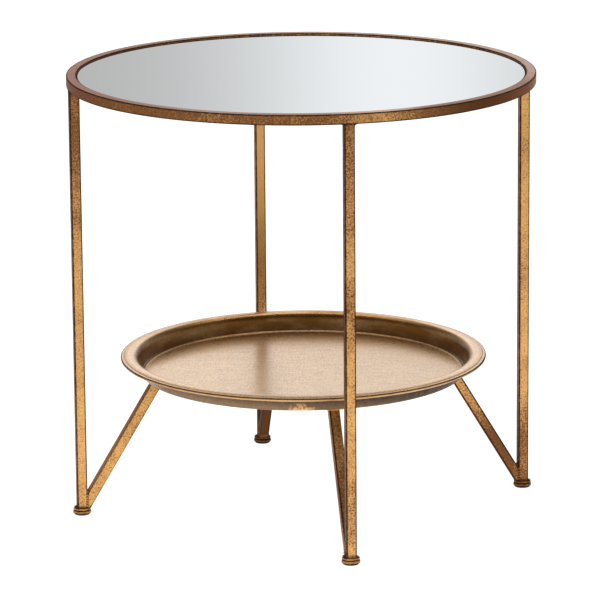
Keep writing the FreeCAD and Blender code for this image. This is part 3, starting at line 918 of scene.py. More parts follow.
def socket_shell(foot, step):
    """The end plug of a leg: flange, spigot and bore, as one closed profile turned about the leg's axis."""
    bottom, top = SOCKET_LOW.z, SOCKET_HIGH.z
    flange_top = bottom + foot.flange
    bore = foot.stud + foot.bore_gap
    flat_edge = SOCKET_RADIUS - foot.flange_round
    rim = rounded_rim(SOCKET_RADIUS, flange_top, foot.flange_round, foot.bend_steps, rising=False)[::-1]
    profile = np.concatenate([
        [[bore, bottom], [flat_edge, bottom], [SOCKET_RADIUS, bottom + foot.flange_round]],
        rim,
        [[foot.spigot, flange_top], [foot.spigot, top], [bore, top]],
    ])
    below, above = SOCKET_SHARES
    on_rim = np.full(len(rim), RIM_SHARE)
    on_rim[-1] = RIM_EDGE_SHARE
    tone = np.concatenate([below, on_rim, above])
    grid = turned(profile, foot.turns, LEG_RADIUS)
    return shell(turned_to_side(grid, step), tone[:, None], ring=True)


def glide_shells(foot, step):
    """The screw-in foot: a band with round rims, a neck above it, and the threaded stud that carries it."""
    bottom = GLIDE_LOW.z
    band_top = bottom + foot.band
    lower = rounded_rim(GLIDE_RADIUS, bottom, foot.round_over, foot.bend_steps, rising=True)
    upper = rounded_rim(GLIDE_RADIUS, band_top, foot.round_over, foot.bend_steps, rising=False)[::-1]
    neck = [[foot.neck, band_top], [foot.neck, SOCKET_LOW.z]]
    # the whole lower rim is painted dark as painted shade under the foot; the band darkens up into the seam
    tone = np.concatenate([np.ones(len(lower)), np.linspace(0, BAND_TOP_SHARE, len(upper)), [1, 1]])
    band = turned(np.concatenate([lower, upper, neck]), foot.turns, LEG_RADIUS)
    rod = threaded(foot.stud, foot.thread_depth, foot.thread_pitch, band_top, GLIDE_HIGH.z, foot, LEG_RADIUS)
    return [
        shell(turned_to_side(band, step), tone[:, None]),
        shell(turned_to_side(rod, step), STUD_SHARE),
    ]


def pad_shell(foot, step):
    """The pad under a foot: a disc with a soft lower rim."""
    lower = rounded_rim(PAD_RADIUS, PAD_LOW.z, foot.pad_round, foot.bend_steps, rising=True)
    profile = np.concatenate([lower, [[PAD_RADIUS, PAD_HIGH.z]]])
    return shell(turned_to_side(turned(profile, foot.turns, LEG_RADIUS), step))


def fastener_place():
    """Distance of the tray's studs from the table's axis: the outer face of a stud less its radius."""
    return STUD_HIGH.x - settings().foot.tray_stud


def nut_shell(foot, step):
    """A hexagon nut: the hexagon's radius at each turn, cut by a shallow cone at both faces, with a bore."""
    bottom, top = NUT_LOW.z, NUT_HIGH.z
    sixth = math.pi / 3
    turn = all_round(foot.turns)
    sector = (turn + sixth / 2) % sixth - sixth / 2
    hexagon = foot.nut_flats / 2 / np.cos(sector)
    bore = np.full((1, len(turn)), foot.tray_stud + foot.nut_bore)
    depth = (foot.nut_flats / math.sqrt(3) - foot.nut_flats / 2) * math.tan(foot.nut_round)
    rise = depth * np.linspace(0, 1, foot.nut_steps)
    height = np.concatenate([bottom + rise, top - rise[::-1]])
    inset = np.minimum(height - bottom, top - height)[:, None]
    cone = foot.nut_flats / 2 + inset / math.tan(foot.nut_round)
    reach = np.concatenate([bore, np.minimum(hexagon, cone), bore])
    level = np.concatenate([[bottom], height, [top]])[:, None]
    grid = about_axis(reach, turn, level, fastener_place())
    return shell(turned_to_side(grid, step), ring=True)


def stud_shell(foot, step):
    """A weld stud under the tray, threaded all the way."""
    bottom, top = STUD_LOW.z, STUD_HIGH.z
    rod = threaded(foot.tray_stud, foot.tray_depth, foot.tray_pitch, bottom, top, foot, fastener_place())
    return shell(turned_to_side(rod, step))


# Nodes

def set_inputs(tree, sockets, inputs):
    """Sets each named socket to a value, or links it from another socket."""
    for key, value in inputs.items():
        socket = sockets[key]
        if isinstance(value, bpy.types.NodeSocket):
            tree.links.new(value, socket)
        elif socket.type == "RGBA":
            socket.default_value = (*value, 1.0)
        else:
            socket.default_value = value


def place(tree, kind, inputs=None, **values):
    """A node with its properties set, and its inputs set or linked."""
    node = tree.nodes.new(kind)
    for key, value in values.items():
        setattr(node, key, value)
    set_inputs(tree, node.inputs, inputs or {})
    return node


def maths(tree, operation, first, second=0.0):
    """The result of an operation on two values."""
    return place(tree, "ShaderNodeMath", {0: first, 1: second}, operation=operation).outputs[0]


def plus(tree, first, second):
    """The sum of two values."""
    return maths(tree, "ADD", first, second)


def times(tree, product, *factors):
    """The product of several values."""
    for factor in factors:
        product = maths(tree, "MULTIPLY", product, factor)
    return product


def rest(tree, value):
    """What a value leaves of 1."""
    return maths(tree, "SUBTRACT", 1.0, value)


def remap(tree, value, span, onto=(0.0, 1.0)):
    """A value stretched from one span onto another and held inside it."""
    inputs = {"Value": value, "From Min": span[0], "From Max": span[1], "To Min": onto[0], "To Max": onto[1]}
    return place(tree, "ShaderNodeMapRange", inputs).outputs["Result"]


def between(tree, mask, onto):
    """A mask from 0 to 1 stretched onto a span."""
    return remap(tree, mask, (0.0, 1.0), onto)


def grained(tree, value, onto):
    """A noise value, most of which lies in the usual span, stretched onto another span."""
    return remap(tree, value, NOISE_SPAN, onto)


def mix(tree, factor, first, second):
    """The colour between two colours."""
    inputs = {"Factor": factor, COLOUR_A: first, COLOUR_B: second}
    return place(tree, "ShaderNodeMix", inputs, data_type="RGBA").outputs[COLOUR_RESULT]


def noise(tree, vector, scale, detail=4.0, roughness=0.6, distortion=0.0):
    """A noise value over a vector."""
    inputs = {
        "Vector": vector, "Scale": scale, "Detail": detail, "Roughness": roughness, "Distortion": distortion,
    }
    return place(tree, "ShaderNodeTexNoise", inputs).outputs[0]


def mapped(tree, vector, **inputs):
    """A vector turned or stretched."""
    return place(tree, "ShaderNodeMapping", {"Vector": vector, **inputs}).outputs[0]


def axes_of(tree, vector):
    """The three parts of a vector."""
    return place(tree, "ShaderNodeSeparateXYZ", {"Vector": vector}).outputs


def painted(tree, label):
    """A value that a piece carries as an attribute."""
    return place(tree, "ShaderNodeAttribute", attribute_name=label).outputs["Fac"]


def bump(tree, height, strength, distance):
    """A normal from a height."""
    inputs = {"Height": height, "Strength": strength, "Distance": distance}
    return place(tree, "ShaderNodeBump", inputs).outputs["Normal"]


# Node groups

def node_group(inputs, outputs):
    """A node group whose outputs a function describes, made at its first use and kept by the function's name.

    Each socket is a label and a kind. Using the group places it in a tree and gives its outputs there.
    """
    def keep(describe):
        def use(tree, values):
            name = describe.__name__
            if name not in bpy.data.node_groups:
                group = bpy.data.node_groups.new(name, "ShaderNodeTree")
                for way, sockets in (("INPUT", inputs), ("OUTPUT", outputs)):
                    for label, kind in sockets.items():
                        group.interface.new_socket(label, in_out=way, socket_type="NodeSocket" + kind)
                given = group.nodes.new("NodeGroupInput").outputs
                result = group.nodes.new("NodeGroupOutput").inputs
                set_inputs(group, result, describe(group, given))
            return place(tree, "ShaderNodeGroup", values, node_tree=bpy.data.node_groups[name]).outputs
        return use
    return keep


@node_group(
    {"Vector": "Vector", "Light": "Color", "Deep": "Color", "Glaze": "Color", "Tone": "Float",
     "Patch Scale": "Float", "Speck Scale": "Float", "Contrast": "Float", "Grain": "Float"},
    {"Color": "Color", "Leaf": "Float", "Height": "Float"},
)
def leaf_patina(tree, given):
    """Metal leaf under a rubbed brown glaze.

    Wide noise makes patches and finer noise makes tears in them. Both push the tone up and down, and so does
    a fine mottle. The tone runs from light to deep. Where it is deep, more of the finest noise passes a
    threshold and shows as specks of glaze. Leaf is how much bare metal is left, and Height is the texture.
    """
    tear_fineness, grain_fineness = 5.0, 2.6
    push_span, patch_push, tear_push = (0.35, 0.65), (-0.5, 0.5), (-0.35, 0.35)
    thresholds, speck_edge, leaf_shares = (0.68, 0.44), (0.0, 0.15), (1.0, 0.35)
    cover_share, relief_share = 0.6, 0.6
    vector, patch_scale, speck_scale = given["Vector"], given["Patch Scale"], given["Speck Scale"]
    patches = noise(tree, vector, patch_scale, distortion=0.7)
    tear_scale = times(tree, patch_scale, tear_fineness)
    tears = noise(tree, vector, tear_scale, detail=5.0, roughness=0.7, distortion=0.4)
    specks = noise(tree, vector, speck_scale, detail=3.0, roughness=0.75)
    grain = noise(tree, vector, times(tree, speck_scale, grain_fineness), detail=2.0)
    mottle = grained(tree, noise(tree, vector, speck_scale, detail=1.0), (-1.0, 1.0))
    push = plus(tree, remap(tree, patches, push_span, patch_push), remap(tree, tears, push_span, tear_push))
    tone = plus(tree, given["Tone"], times(tree, push, given["Contrast"]))
    tone = between(tree, plus(tree, tone, times(tree, mottle, given["Grain"])), (0.0, 1.0))
    speck = remap(tree, maths(tree, "SUBTRACT", specks, between(tree, tone, thresholds)), speck_edge)
    toned = mix(tree, tone, given["Light"], given["Deep"])
    return {
        "Color": mix(tree, times(tree, speck, cover_share), toned, given["Glaze"]),
        "Leaf": between(tree, speck, leaf_shares),
        "Height": plus(tree, times(tree, specks, relief_share), grain),
    }


@node_group({"Vector": "Vector", "Mask": "Float", "Scale": "Float"}, {"Line": "Float"})
def glaze_and_shade_line(tree, given):
    """The dark line that glaze and painted shade leave along edges, in seams and on shaded faces: a painted
    mask broken up by noise.
    """
    break_span, broken_shares, line_span = (0.3, 0.62), (0.7, 1.0), (0.12, 0.9)
    flaws = noise(tree, given["Vector"], given["Scale"], roughness=0.7)
    broken = times(tree, given["Mask"], remap(tree, flaws, break_span, broken_shares))
    return {"Line": remap(tree, broken, line_span)}


@node_group({"Vector": "Vector", "Scale": "Float", "Stretch": "Float"}, {"Streak": "Float"})
def brushed_streaks(tree, given):
    """Fine straight streaks along the vector's X: noise that is drawn out along it, at two widths."""
    width_share, fine_share, streak_span = 0.3, 0.6, (0.34, 0.66)
    parts = axes_of(tree, given["Vector"])
    along = maths(tree, "DIVIDE", parts["X"], given["Stretch"])
    drawn = place(tree, "ShaderNodeCombineXYZ", {"X": along, "Y": parts["Y"], "Z": parts["Z"]}).outputs[0]
    fine = noise(tree, drawn, given["Scale"], detail=3.0, roughness=0.65)
    wide = noise(tree, drawn, times(tree, given["Scale"], width_share), detail=2.0, roughness=0.5)
    both = plus(tree, times(tree, fine, fine_share), times(tree, wide, 1 - fine_share))
    return {"Streak": remap(tree, both, streak_span)}


@node_group({"Vector": "Vector", "Scale": "Float"}, {"Mark": "Float"})
def handling_marks(tree, given):
    """Faint handling marks: soft blotches with finer noise in them."""
    fineness, blotch_span = 30.0, (0.45, 0.75)
    blotch = remap(tree, noise(tree, given["Vector"], given["Scale"], detail=3.0, roughness=0.5), blotch_span)
    fine = noise(tree, given["Vector"], times(tree, given["Scale"], fineness), detail=3.0, roughness=0.7)
    return {"Mark": times(tree, blotch, fine)}


# Materials

def finish(describe):
    """A material whose shader inputs a function describes, made at its first use and kept by its name.

    The function is given the node tree, the Object coordinates and the colours of the finish.
    """
    def fetch():
        name = describe.__name__
        if name not in bpy.data.materials:
            made = bpy.data.materials.new(name)
            made.use_nodes = True
            tree = made.node_tree
            tree.nodes.clear()
            shader = place(tree, "ShaderNodeBsdfPrincipled")
            place(tree, "ShaderNodeOutputMaterial", {"Surface": shader.outputs[0]})
            coords = place(tree, "ShaderNodeTexCoord").outputs["Object"]
            set_inputs(tree, shader.inputs, describe(tree, coords, settings().colours))
        return bpy.data.materials[name]
    return fetch


@finish
def leaf_gold(tree, coords, colours):
    """Antique gold leaf on the tubes and feet.

    It is deeper towards the hoop and where the listed patches of tone and painted light darken it, with brown
    lines along the edges and painted shade on the tubes' shaded sides. Where those patches are deepest, a
    film of the glaze colour covers the leaf as painted shade, except on rubbed faces. Rubbed faces have more
    polish, and glaze takes the polish off.
    """
    tone_heights, tone_depths = (0.20, 0.545), (0.22, 0.70)
    shade_film_span, shade_film_shares = (0.6, 1.6), (0.0, 0.9)
    metal_shares, polish_shares = (0.95, 0.25), (0.35, 1.0)
    leaf_span, leaf_roughness, line_roughness = (0.3, 1.0), (0.62, 0.40), 0.25
    dull_toning, dull_shares = (0.0, 0.5), (1.0, 0.45)
    tone_and_light, polish_and_highlight = painted(tree, "tone_and_light"), painted(tree, "polish_and_highlight")
    by_height = remap(tree, axes_of(tree, coords)["Z"], tone_heights, tone_depths)
    patina = leaf_patina(tree, {
        "Vector": coords, "Light": colours.gold_light, "Deep": colours.gold_deep, "Glaze": colours.glaze_and_shade,
        "Tone": plus(tree, by_height, tone_and_light),
        "Patch Scale": 13.0, "Speck Scale": 480.0, "Contrast": 0.4, "Grain": 0.34,
    })
    line_inputs = {"Vector": coords, "Mask": painted(tree, "glaze_and_shade"), "Scale": 120.0}
    line = glaze_and_shade_line(tree, line_inputs)["Line"]
    # painted shade: a film of the glaze colour where the patches are deepest
    shade_film = times(tree, remap(tree, tone_and_light, shade_film_span, shade_film_shares), rest(tree, polish_and_highlight))
    leaf = mix(tree, shade_film, patina["Color"], colours.glaze_and_shade)
    matt = remap(tree, patina["Leaf"], leaf_span, leaf_roughness)
    polish = times(tree, between(tree, polish_and_highlight, polish_shares), remap(tree, tone_and_light, dull_toning, dull_shares))
    return {
        "Base Color": mix(tree, line, leaf, colours.glaze_and_shade_line),
        "Metallic": times(tree, patina["Leaf"], between(tree, line, metal_shares)),
        "Roughness": plus(tree, matt, times(tree, line, line_roughness)),
        "Normal": bump(tree, patina["Height"], strength=0.35, distance=0.0003),
        "Coat Weight": times(tree, polish, rest(tree, shade_film), rest(tree, line)),
        "Coat Roughness": 0.28,
        "Specular Tint": colours.gold_deep,
    }


def tray_grain(tree, brushed):
    """The tray's surface: straight streaks with finer sanding marks across them."""
    sand_share = 0.75
    crossed = mapped(tree, brushed, Rotation=(0, 0, QUARTER))
    streak = brushed_streaks(tree, {"Vector": brushed, "Scale": 620.0, "Stretch": 14.0})["Streak"]
    sand = brushed_streaks(tree, {"Vector": crossed, "Scale": 1700.0, "Stretch": 4.0})["Streak"]
    return plus(tree, times(tree, sand, sand_share), times(tree, streak, 1 - sand_share))


def tray_inner_colour(tree, colours, brushed, grain, painted_highlight, depth):
    """The colour of the tray's inner face, and how far the deep bronze covers it.

    Sanding marks darken the pale bronze, less where a highlight is painted, and soft stains darken it
    further.
    The deep bronze covers it by the depth of the glaze and painted shade, broken by paler patches that are
    painted reflections.
    """
    deep_depths, patch_span, patch_shares = (0.0, 0.45), (0.42, 0.62), (1.0, 0.2)
    sand_span, highlight_span, sand_shares = (0.25, 0.85), (0.0, 0.25), (0.6, 0.12)
    stain_span, stain_shares = (0.40, 0.66), (0.0, 0.26)
    patches = noise(tree, mapped(tree, brushed, Scale=(1, 1, 3)), scale=14.0, detail=5.0, roughness=0.65)
    # paler patches on the deep bronze are painted reflections
    patchy_cover = remap(tree, patches, patch_span, patch_shares)
    deep_share = times(tree, remap(tree, depth, deep_depths), patchy_cover)
    sandy = times(tree, remap(tree, grain, sand_span), remap(tree, painted_highlight, highlight_span, sand_shares))
    drawn_out = mapped(tree, brushed, Scale=(1, 3, 1))
    stains = noise(tree, drawn_out, scale=38.0, detail=6.0, roughness=0.75, distortion=0.6)
    darkened = plus(tree, sandy, remap(tree, stains, stain_span, stain_shares))
    satin = mix(tree, darkened, colours.tray_pale, colours.tray_deep)
    return mix(tree, deep_share, satin, colours.tray_deep), deep_share


@finish
def satin_bronze(tree, coords, colours):
    """The tray: satin bronze brushed in straight lines, deeper on the wall, glazed in the seams, with painted
    shade along the hem and the outside.

    A negative value marks the outside, which is plainer and has no coat. Painted highlights show as bright
    flecks.
    """
    line_depths, outside_grain = (0.5, 0.95), (0.0, 0.35)
    fleck_span, fleck_least, fleck_most, highlit_span = (0.35, 0.6), (0.75, 0.45), 1.2, (0.4, 0.75)
    line_metal, highlit_metal = (0.95, 0.2), (1.0, 0.35)
    grain_roughness, line_roughness, coat_shares = (0.26, 0.36), (0.0, 0.3), (1.0, 0.15)
    brushed = mapped(tree, coords, Rotation=(0, 0, BRUSH_TURN))
    grain = tray_grain(tree, brushed)
    glaze_and_shade, painted_highlight = painted(tree, "glaze_and_shade"), painted(tree, "polish_and_highlight")
    outside = maths(tree, "LESS_THAN", glaze_and_shade, 0.0)
    depth = maths(tree, "ABSOLUTE", glaze_and_shade)
    inner_colour, deep_share = tray_inner_colour(tree, colours, brushed, grain, painted_highlight, depth)
    plain = mix(tree, grained(tree, grain, outside_grain), colours.tray_outside, colours.glaze_and_shade)
    line_inputs = {"Vector": coords, "Mask": remap(tree, depth, line_depths), "Scale": 160.0}
    line = glaze_and_shade_line(tree, line_inputs)["Line"]
    surface = mix(tree, line, mix(tree, outside, inner_colour, plain), colours.glaze_and_shade_line)
    fleck_shares = (between(tree, outside, fleck_least), fleck_most)
    flecks = remap(tree, noise(tree, coords, scale=260.0), fleck_span, fleck_shares)
    # bright flecks of painted highlight: pale bronze inside, light gold on the outside
    highlit = remap(tree, times(tree, painted_highlight, flecks), highlit_span)
    bright = mix(tree, outside, colours.tray_highlight, colours.gold_light)
    coat = times(tree, rest(tree, line), rest(tree, outside), rest(tree, highlit))
    return {
        "Base Color": mix(tree, highlit, surface, bright),
        "Metallic": times(tree, between(tree, line, line_metal), between(tree, highlit, highlit_metal)),
        "Roughness": plus(tree, grained(tree, grain, grain_roughness), between(tree, line, line_roughness)),
        "Normal": bump(tree, grain, strength=0.06, distance=0.0003),
        "Coat Weight": times(tree, coat, between(tree, deep_share, coat_shares)),
        "Coat Roughness": 0.22,
    }


@finish
def silvered_glass(tree, coords, colours):
    """The mirror: silvering seen through clear glass, a greenish ground edge and faint handling marks."""
    mark_roughness = (0.008, 0.05)
    mark = handling_marks(tree, {"Vector": coords, "Scale": 7.0})["Mark"]
    return {
        "Base Color": mix(tree, painted(tree, "glaze_and_shade"), colours.silver, colours.glass_edge),
        "Roughness": between(tree, mark, mark_roughness),
        "Metallic": 1.0,
    }


@finish
def dark_hardboard(tree, coords, colours):
    """The board behind the mirror: pressed fibre, dark, with a fine felted grain."""
    cloud_share, felt_span, fibre_roughness = 0.5, (0.5, 1.0), (0.62, 0.8)
    fibre = noise(tree, coords, scale=900.0, detail=5.0, roughness=0.7, distortion=0.8)
    cloud = noise(tree, coords, scale=24.0, detail=3.0)
    felt = remap(tree, plus(tree, fibre, times(tree, cloud, cloud_share)), felt_span)
    return {
        "Base Color": mix(tree, felt, colours.glaze_and_shade_line, colours.board),
        "Roughness": grained(tree, fibre, fibre_roughness),
        "Normal": bump(tree, fibre, strength=0.3, distance=0.0003),
    }


@finish
def plated_zinc(tree, coords, colours):
    """Bright zinc plate with a faint spangle."""
    spangle_span, spangle_roughness = (0.35, 0.7), (0.24, 0.42)
    spangle = noise(tree, coords, scale=700.0, detail=2.0, roughness=0.5)
    return {
        "Base Color": mix(tree, remap(tree, spangle, spangle_span), colours.zinc, colours.paper),
        "Roughness": grained(tree, spangle, spangle_roughness),
        "Metallic": 1.0,
    }


@finish
def black_rubber(tree, coords, colours):
    """Moulded black rubber with a fine matt grain and a little floor dust."""
    dust_share, grain_roughness = 0.2, (0.6, 0.8)
    mark = handling_marks(tree, {"Vector": coords, "Scale": 120.0})["Mark"]
    grain = noise(tree, coords, scale=2600.0, detail=2.0, roughness=0.5)
    return {
        "Base Color": mix(tree, times(tree, mark, dust_share), colours.rubber, colours.paper),
        "Roughness": grained(tree, grain, grain_roughness),
        "Normal": bump(tree, grain, strength=0.25, distance=0.0002),
    }


@finish
def soft_clear_rubber(tree, coords, colours):
    """Clear soft rubber, faintly cloudy."""
    cloud_shares, cloud_roughness = (0.0, 0.3), (0.18, 0.32)
    cloud = noise(tree, coords, scale=300.0, detail=3.0)
    return {
        "Base Color": mix(tree, grained(tree, cloud, cloud_shares), colours.clear_rubber, colours.paper),
        "Roughness": grained(tree, cloud, cloud_roughness),
        "Transmission Weight": 0.6,
    }


def clear_from_below(tree):
    """Makes a material see-through from the back of its faces."""
    output = next(node for node in tree.nodes if node.type == "OUTPUT_MATERIAL")
    solid = output.inputs["Surface"].links[0].from_socket
    clear = place(tree, "ShaderNodeBsdfTransparent").outputs[0]
    from_back = place(tree, "ShaderNodeNewGeometry").outputs["Backfacing"]
    either = place(tree, "ShaderNodeMixShader", {0: from_back, 1: solid, 2: clear})
    set_inputs(tree, output.inputs, {"Surface": either.outputs[0]})


@finish
def studio_paper(tree, coords, colours):
    """White floor paper, a strip that runs back from the table.

    Its colour and glow fade to grey on both sides and in front, a painted falloff of light, apart from a
    round pool of light painted in front and to the right.
    It gives light of its own, and it doesn't hide the table from below.
    """
    fibre_roughness = (0.85, 0.95)
    stage = settings().stage
    stage_coords = mapped(tree, coords, Rotation=(0, 0, -stage.azimuth))
    parts = axes_of(tree, stage_coords)
    beside = remap(tree, maths(tree, "ABSOLUTE", parts["X"]), (stage.side_fade, stage.side_white))
    ahead = remap(tree, parts["Y"], (-stage.front_fade, -stage.front_white))
    middle = {0: stage_coords, 1: (stage.pool_right, -stage.pool_front, 0)}
    reach = place(tree, "ShaderNodeVectorMath", middle, operation="DISTANCE").outputs["Value"]
    pool = remap(tree, reach, (stage.pool_fade, stage.pool_white))
    fade = maths(tree, "MAXIMUM", times(tree, beside, ahead), pool)
    grey = [stage.floor_grey_share * part for part in colours.paper]
    tone = mix(tree, fade, grey, colours.paper)
    clear_from_below(tree)
    return {
        "Base Color": mix(tree, stage.floor_shade_share, tone, (0, 0, 0)),
        "Emission Color": tone,
        "Emission Strength": stage.floor_glow,
        "Roughness": grained(tree, noise(tree, coords, scale=35.0), fibre_roughness),
        "Specular IOR Level": 0.0,
    }


# Stage

def view_axes(stage):
    """Unit vectors to the camera's right, level towards the camera, and up along the line to it."""
    right = np.array([math.cos(stage.azimuth), math.sin(stage.azimuth), 0])
    level = np.array([math.sin(stage.azimuth), -math.cos(stage.azimuth), 0])
    back = level * math.cos(stage.elevation) + np.array([0, 0, math.sin(stage.elevation)])
    return right, level, back


def make_camera(stage):
    """A camera on a line from the aim, turned to look along it and then rolled about it."""
    right, _, back = view_axes(stage)
    upward = np.cross(back, right)
    cosine, sine = math.cos(stage.roll), math.sin(stage.roll)
    axes = np.eye(4)
    axes[:3, 0] = right * cosine + upward * sine
    axes[:3, 1] = upward * cosine - right * sine
    axes[:3, 2] = back
    axes[:3, 3] = right * stage.aim_right + np.array([0, 0, stage.aim_height]) + back * stage.distance
    data = bpy.data.cameras.new("photo_camera")
    data.lens = stage.lens
    data.sensor_width = SENSOR_WIDTH
    data.clip_end = 2 * stage.floor_half + stage.distance
    camera = add_object("photo_camera", data)
    camera.matrix_world = Matrix(axes)
    bpy.context.scene.camera = camera


def make_floor(stage):
    """A square sheet of white paper on the floor."""
    reach = stage.floor_half
    corners = [(-reach, -reach, 0), (reach, -reach, 0), (reach, reach, 0), (-reach, reach, 0)]
    mesh = bpy.data.meshes.new("studio_floor")
    mesh.from_pydata(corners, [], [(0, 1, 2, 3)])
    mesh.materials.append(studio_paper())
    floor = add_object("studio_floor", mesh)


def brightness_ramp(tree, height, stops):
    """Grey light by the height of the look, which is the sine of its elevation, from pairs of both."""
    node = place(tree, "ShaderNodeValToRGB", {"Fac": height})
    marks = node.color_ramp.elements
    while len(marks) < len(stops):
        marks.new(1.0)
    for mark, (sine, light) in zip(marks, stops):
        mark.position = sine
        mark.color = (light, light, light, 1.0)
    return node.outputs["Color"]


def make_world(stage):
    """Soft light from all round, white overhead.

    Behind the table stands a sheet, grey low down and white above, with one soft strip on it. Elsewhere the
    room is dimmer. The strip is a bell curve of the sideways direction.
    """
    world = bpy.data.worlds.new("studio")
    world.use_nodes = True
    bpy.context.scene.world = world
    tree = world.node_tree
    tree.nodes.clear()
    right, level, _ = view_axes(stage)
    look = place(tree, "ShaderNodeTexCoord").outputs["Generated"]

    def along(axis):
        inputs = {0: look, 1: tuple(axis)}
        return place(tree, "ShaderNodeVectorMath", inputs, operation="DOT_PRODUCT").outputs["Value"]

    height = axes_of(tree, look)["Z"]
    ahead, sideways = along(-level), along(right)
    spread = maths(tree, "DIVIDE", maths(tree, "SUBTRACT", sideways, stage.strip_place), stage.strip_width)
    strip = maths(tree, "POWER", math.e, times(tree, spread, spread, -0.5))
    bearing = maths(tree, "ABSOLUTE", maths(tree, "ARCTAN2", sideways, ahead))
    edges = (stage.sheet_half + stage.sheet_edge, stage.sheet_half - stage.sheet_edge)
    on_sheet = remap(tree, bearing, edges)
    sheet = brightness_ramp(tree, height, SHEET_LIGHT)
    room = brightness_ramp(tree, height, ROOM_LIGHT)
    both = mix(tree, on_sheet, room, sheet)
    lit = mix(tree, times(tree, strip, on_sheet, STRIP_SHARE), both, STRIP_COLOUR)
    shade = place(tree, "ShaderNodeBackground", {"Color": lit, "Strength": 1.0})
    place(tree, "ShaderNodeOutputWorld", {"Surface": shade.outputs[0]})


def make_top_light(stage):
    """One wide soft light overhead."""
    data = bpy.data.lights.new("top_light", "AREA")
    data.shape = "SQUARE"
    data.size = stage.top_side
    data.energy = stage.top_power
    light = add_object("top_light", data)
    light.location = (0, 0, stage.top_height)


# Operators

class ACCENT_OT_hoop(bpy.types.Operator):
    """Make the hoop of square tube that holds the mirror"""

    bl_idname = "accent_table.make_hoop"
    bl_label = "Hoop"

    def execute(self, context):
        shells = [hoop_shell(settings().tube)]
        make_piece("hoop_tube", shells, leaf_gold(), "frame", ["top_hoop"])
        return {"FINISHED"}


class ACCENT_OT_legs(bpy.types.Operator):
    """Make the four legs with their welds"""

    bl_idname = "accent_table.make_legs"
    bl_label = "Legs"

    def execute(self, context):
        for step, side in enumerate(SIDES):
            shells = [leg_shell(settings().tube, step)]
            make_piece("leg_tube_" + side, shells, leaf_gold(), "frame", ["leg_" + side])
        return {"FINISHED"}


class ACCENT_OT_braces(bpy.types.Operator):
    """Make the four raking braces and the weld beads up their seams"""

    bl_idname = "accent_table.make_braces"
    bl_label = "Braces and welds"

    def execute(self, context):
        tube = settings().tube
        for step, side in enumerate(SIDES):
            shells = [brace_shell(tube, step)] + brace_beads(tube, step)
            make_piece("brace_tube_" + side, shells, leaf_gold(), "frame", ["brace_" + side])
        return {"FINISHED"}


class ACCENT_OT_tray(bpy.types.Operator):
    """Make the pressed tray"""

    bl_idname = "accent_table.make_tray"
    bl_label = "Tray"

    def execute(self, context):
        shells = [tray_shell(settings().tray)]
        make_piece("tray_sheet", shells, satin_bronze(), "frame", ["tray"])
        return {"FINISHED"}


class ACCENT_OT_mirror(bpy.types.Operator):
    """Make the mirror pane and the soft dots that it lies on"""

    bl_idname = "accent_table.make_mirror"
    bl_label = "Mirror"

    def execute(self, context):
        pane = settings().pane
        make_piece("mirror_glass_pane", [pane_shell(pane)], silvered_glass(), "mirror_top",
                   ["mirror_pane"], crease=SHARP_CREASE)
        make_piece("ledge_soft_dots", dot_shells(pane), soft_clear_rubber(), "frame",
                   ["ledge_bumpers"])
        return {"FINISHED"}


class ACCENT_OT_feet(bpy.types.Operator):
    """Make the end plugs, the screw-in feet and their pads"""

    bl_idname = "accent_table.make_feet"
    bl_label = "Feet"

    def execute(self, context):
        foot = settings().foot
        for step, side in enumerate(SIDES):
            body = "foot_" + side
            make_piece("end_plug_" + side, [socket_shell(foot, step)], leaf_gold(), "frame",
                       ["foot_socket_" + side])
            make_piece("screw_foot_" + side, glide_shells(foot, step), leaf_gold(), body,
                       ["glide_" + side])
            make_piece("foot_pad_" + side, [pad_shell(foot, step)], black_rubber(), body,
                       ["glide_pad_" + side])
        return {"FINISHED"}


class ACCENT_OT_fasteners(bpy.types.Operator):
    """Make the studs and nuts that hold the tray"""

    bl_idname = "accent_table.make_fasteners"
    bl_label = "Studs and nuts"

    def execute(self, context):
        foot = settings().foot
        steps = range(len(SIDES))
        studs = [stud_shell(foot, step) for step in steps]
        nuts = [nut_shell(foot, step) for step in steps]
        make_piece("tray_threaded_studs", studs, plated_zinc(), "frame", ["tray_studs"])
        make_piece("tray_hex_nuts", nuts, plated_zinc(), "frame", ["tray_nuts"],
                   crease=SHARP_CREASE)
        return {"FINISHED"}


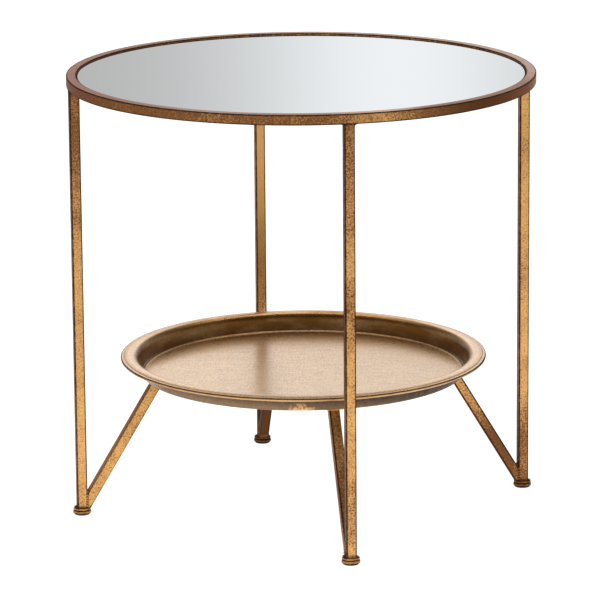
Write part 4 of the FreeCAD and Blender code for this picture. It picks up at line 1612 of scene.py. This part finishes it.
class ACCENT_OT_plates(bpy.types.Operator):
    """Finish the plain plates of the frame: the ledge, the board and the tray's tabs"""

    bl_idname = "accent_table.finish_plates"
    bl_label = "Plates"

    def execute(self, context):
        finishes = {"glass_ledge": leaf_gold(), "backing_board": dark_hardboard()}
        finishes.update({"tray_tab_" + side: leaf_gold() for side in SIDES})
        for node, material in finishes.items():
            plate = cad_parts[node]
            for slot in plate.material_slots:
                slot.material = material
        return {"FINISHED"}


class ACCENT_OT_stage(bpy.types.Operator):
    """Set up the studio floor, its light and the camera"""

    bl_idname = "accent_table.make_stage"
    bl_label = "Stage"

    def execute(self, context):
        stage = settings().stage
        make_floor(stage)
        make_world(stage)
        make_top_light(stage)
        make_camera(stage)
        context.scene.view_settings.view_transform = "Standard"
        return {"FINISHED"}


STEPS = (
    ACCENT_OT_hoop,
    ACCENT_OT_legs,
    ACCENT_OT_braces,
    ACCENT_OT_tray,
    ACCENT_OT_mirror,
    ACCENT_OT_feet,
    ACCENT_OT_fasteners,
    ACCENT_OT_plates,
    ACCENT_OT_stage,
)


class ACCENT_PT_panel(bpy.types.Panel):
    """Lists the steps that build the table"""

    bl_idname = "ACCENT_PT_panel"
    bl_label = "Accent table"
    bl_space_type = "VIEW_3D"
    bl_region_type = "UI"
    bl_category = "Accent table"

    def draw(self, context):
        for step in STEPS:
            self.layout.operator(step.bl_idname)


GROUPS = (TubeSizes, TraySizes, FootSizes, PaneSizes, FinishColours, StageValues, AccentTable)


def register():
    """Adds the table's classes and settings to Blender."""
    for kind in GROUPS + STEPS + (ACCENT_PT_panel,):
        bpy.utils.register_class(kind)
    bpy.types.Scene.accent_table = bpy.props.PointerProperty(type=AccentTable)


def unregister():
    """Takes the table's settings and classes out of Blender again."""
    del bpy.types.Scene.accent_table
    for kind in reversed(GROUPS + STEPS + (ACCENT_PT_panel,)):
        bpy.utils.unregister_class(kind)


def main():
    """Builds the table and its stage."""
    register()
    for step in STEPS:
        family, name = step.bl_idname.split(".")
        getattr(getattr(bpy.ops, family), name)()


if __name__ == "__main__":
    main()
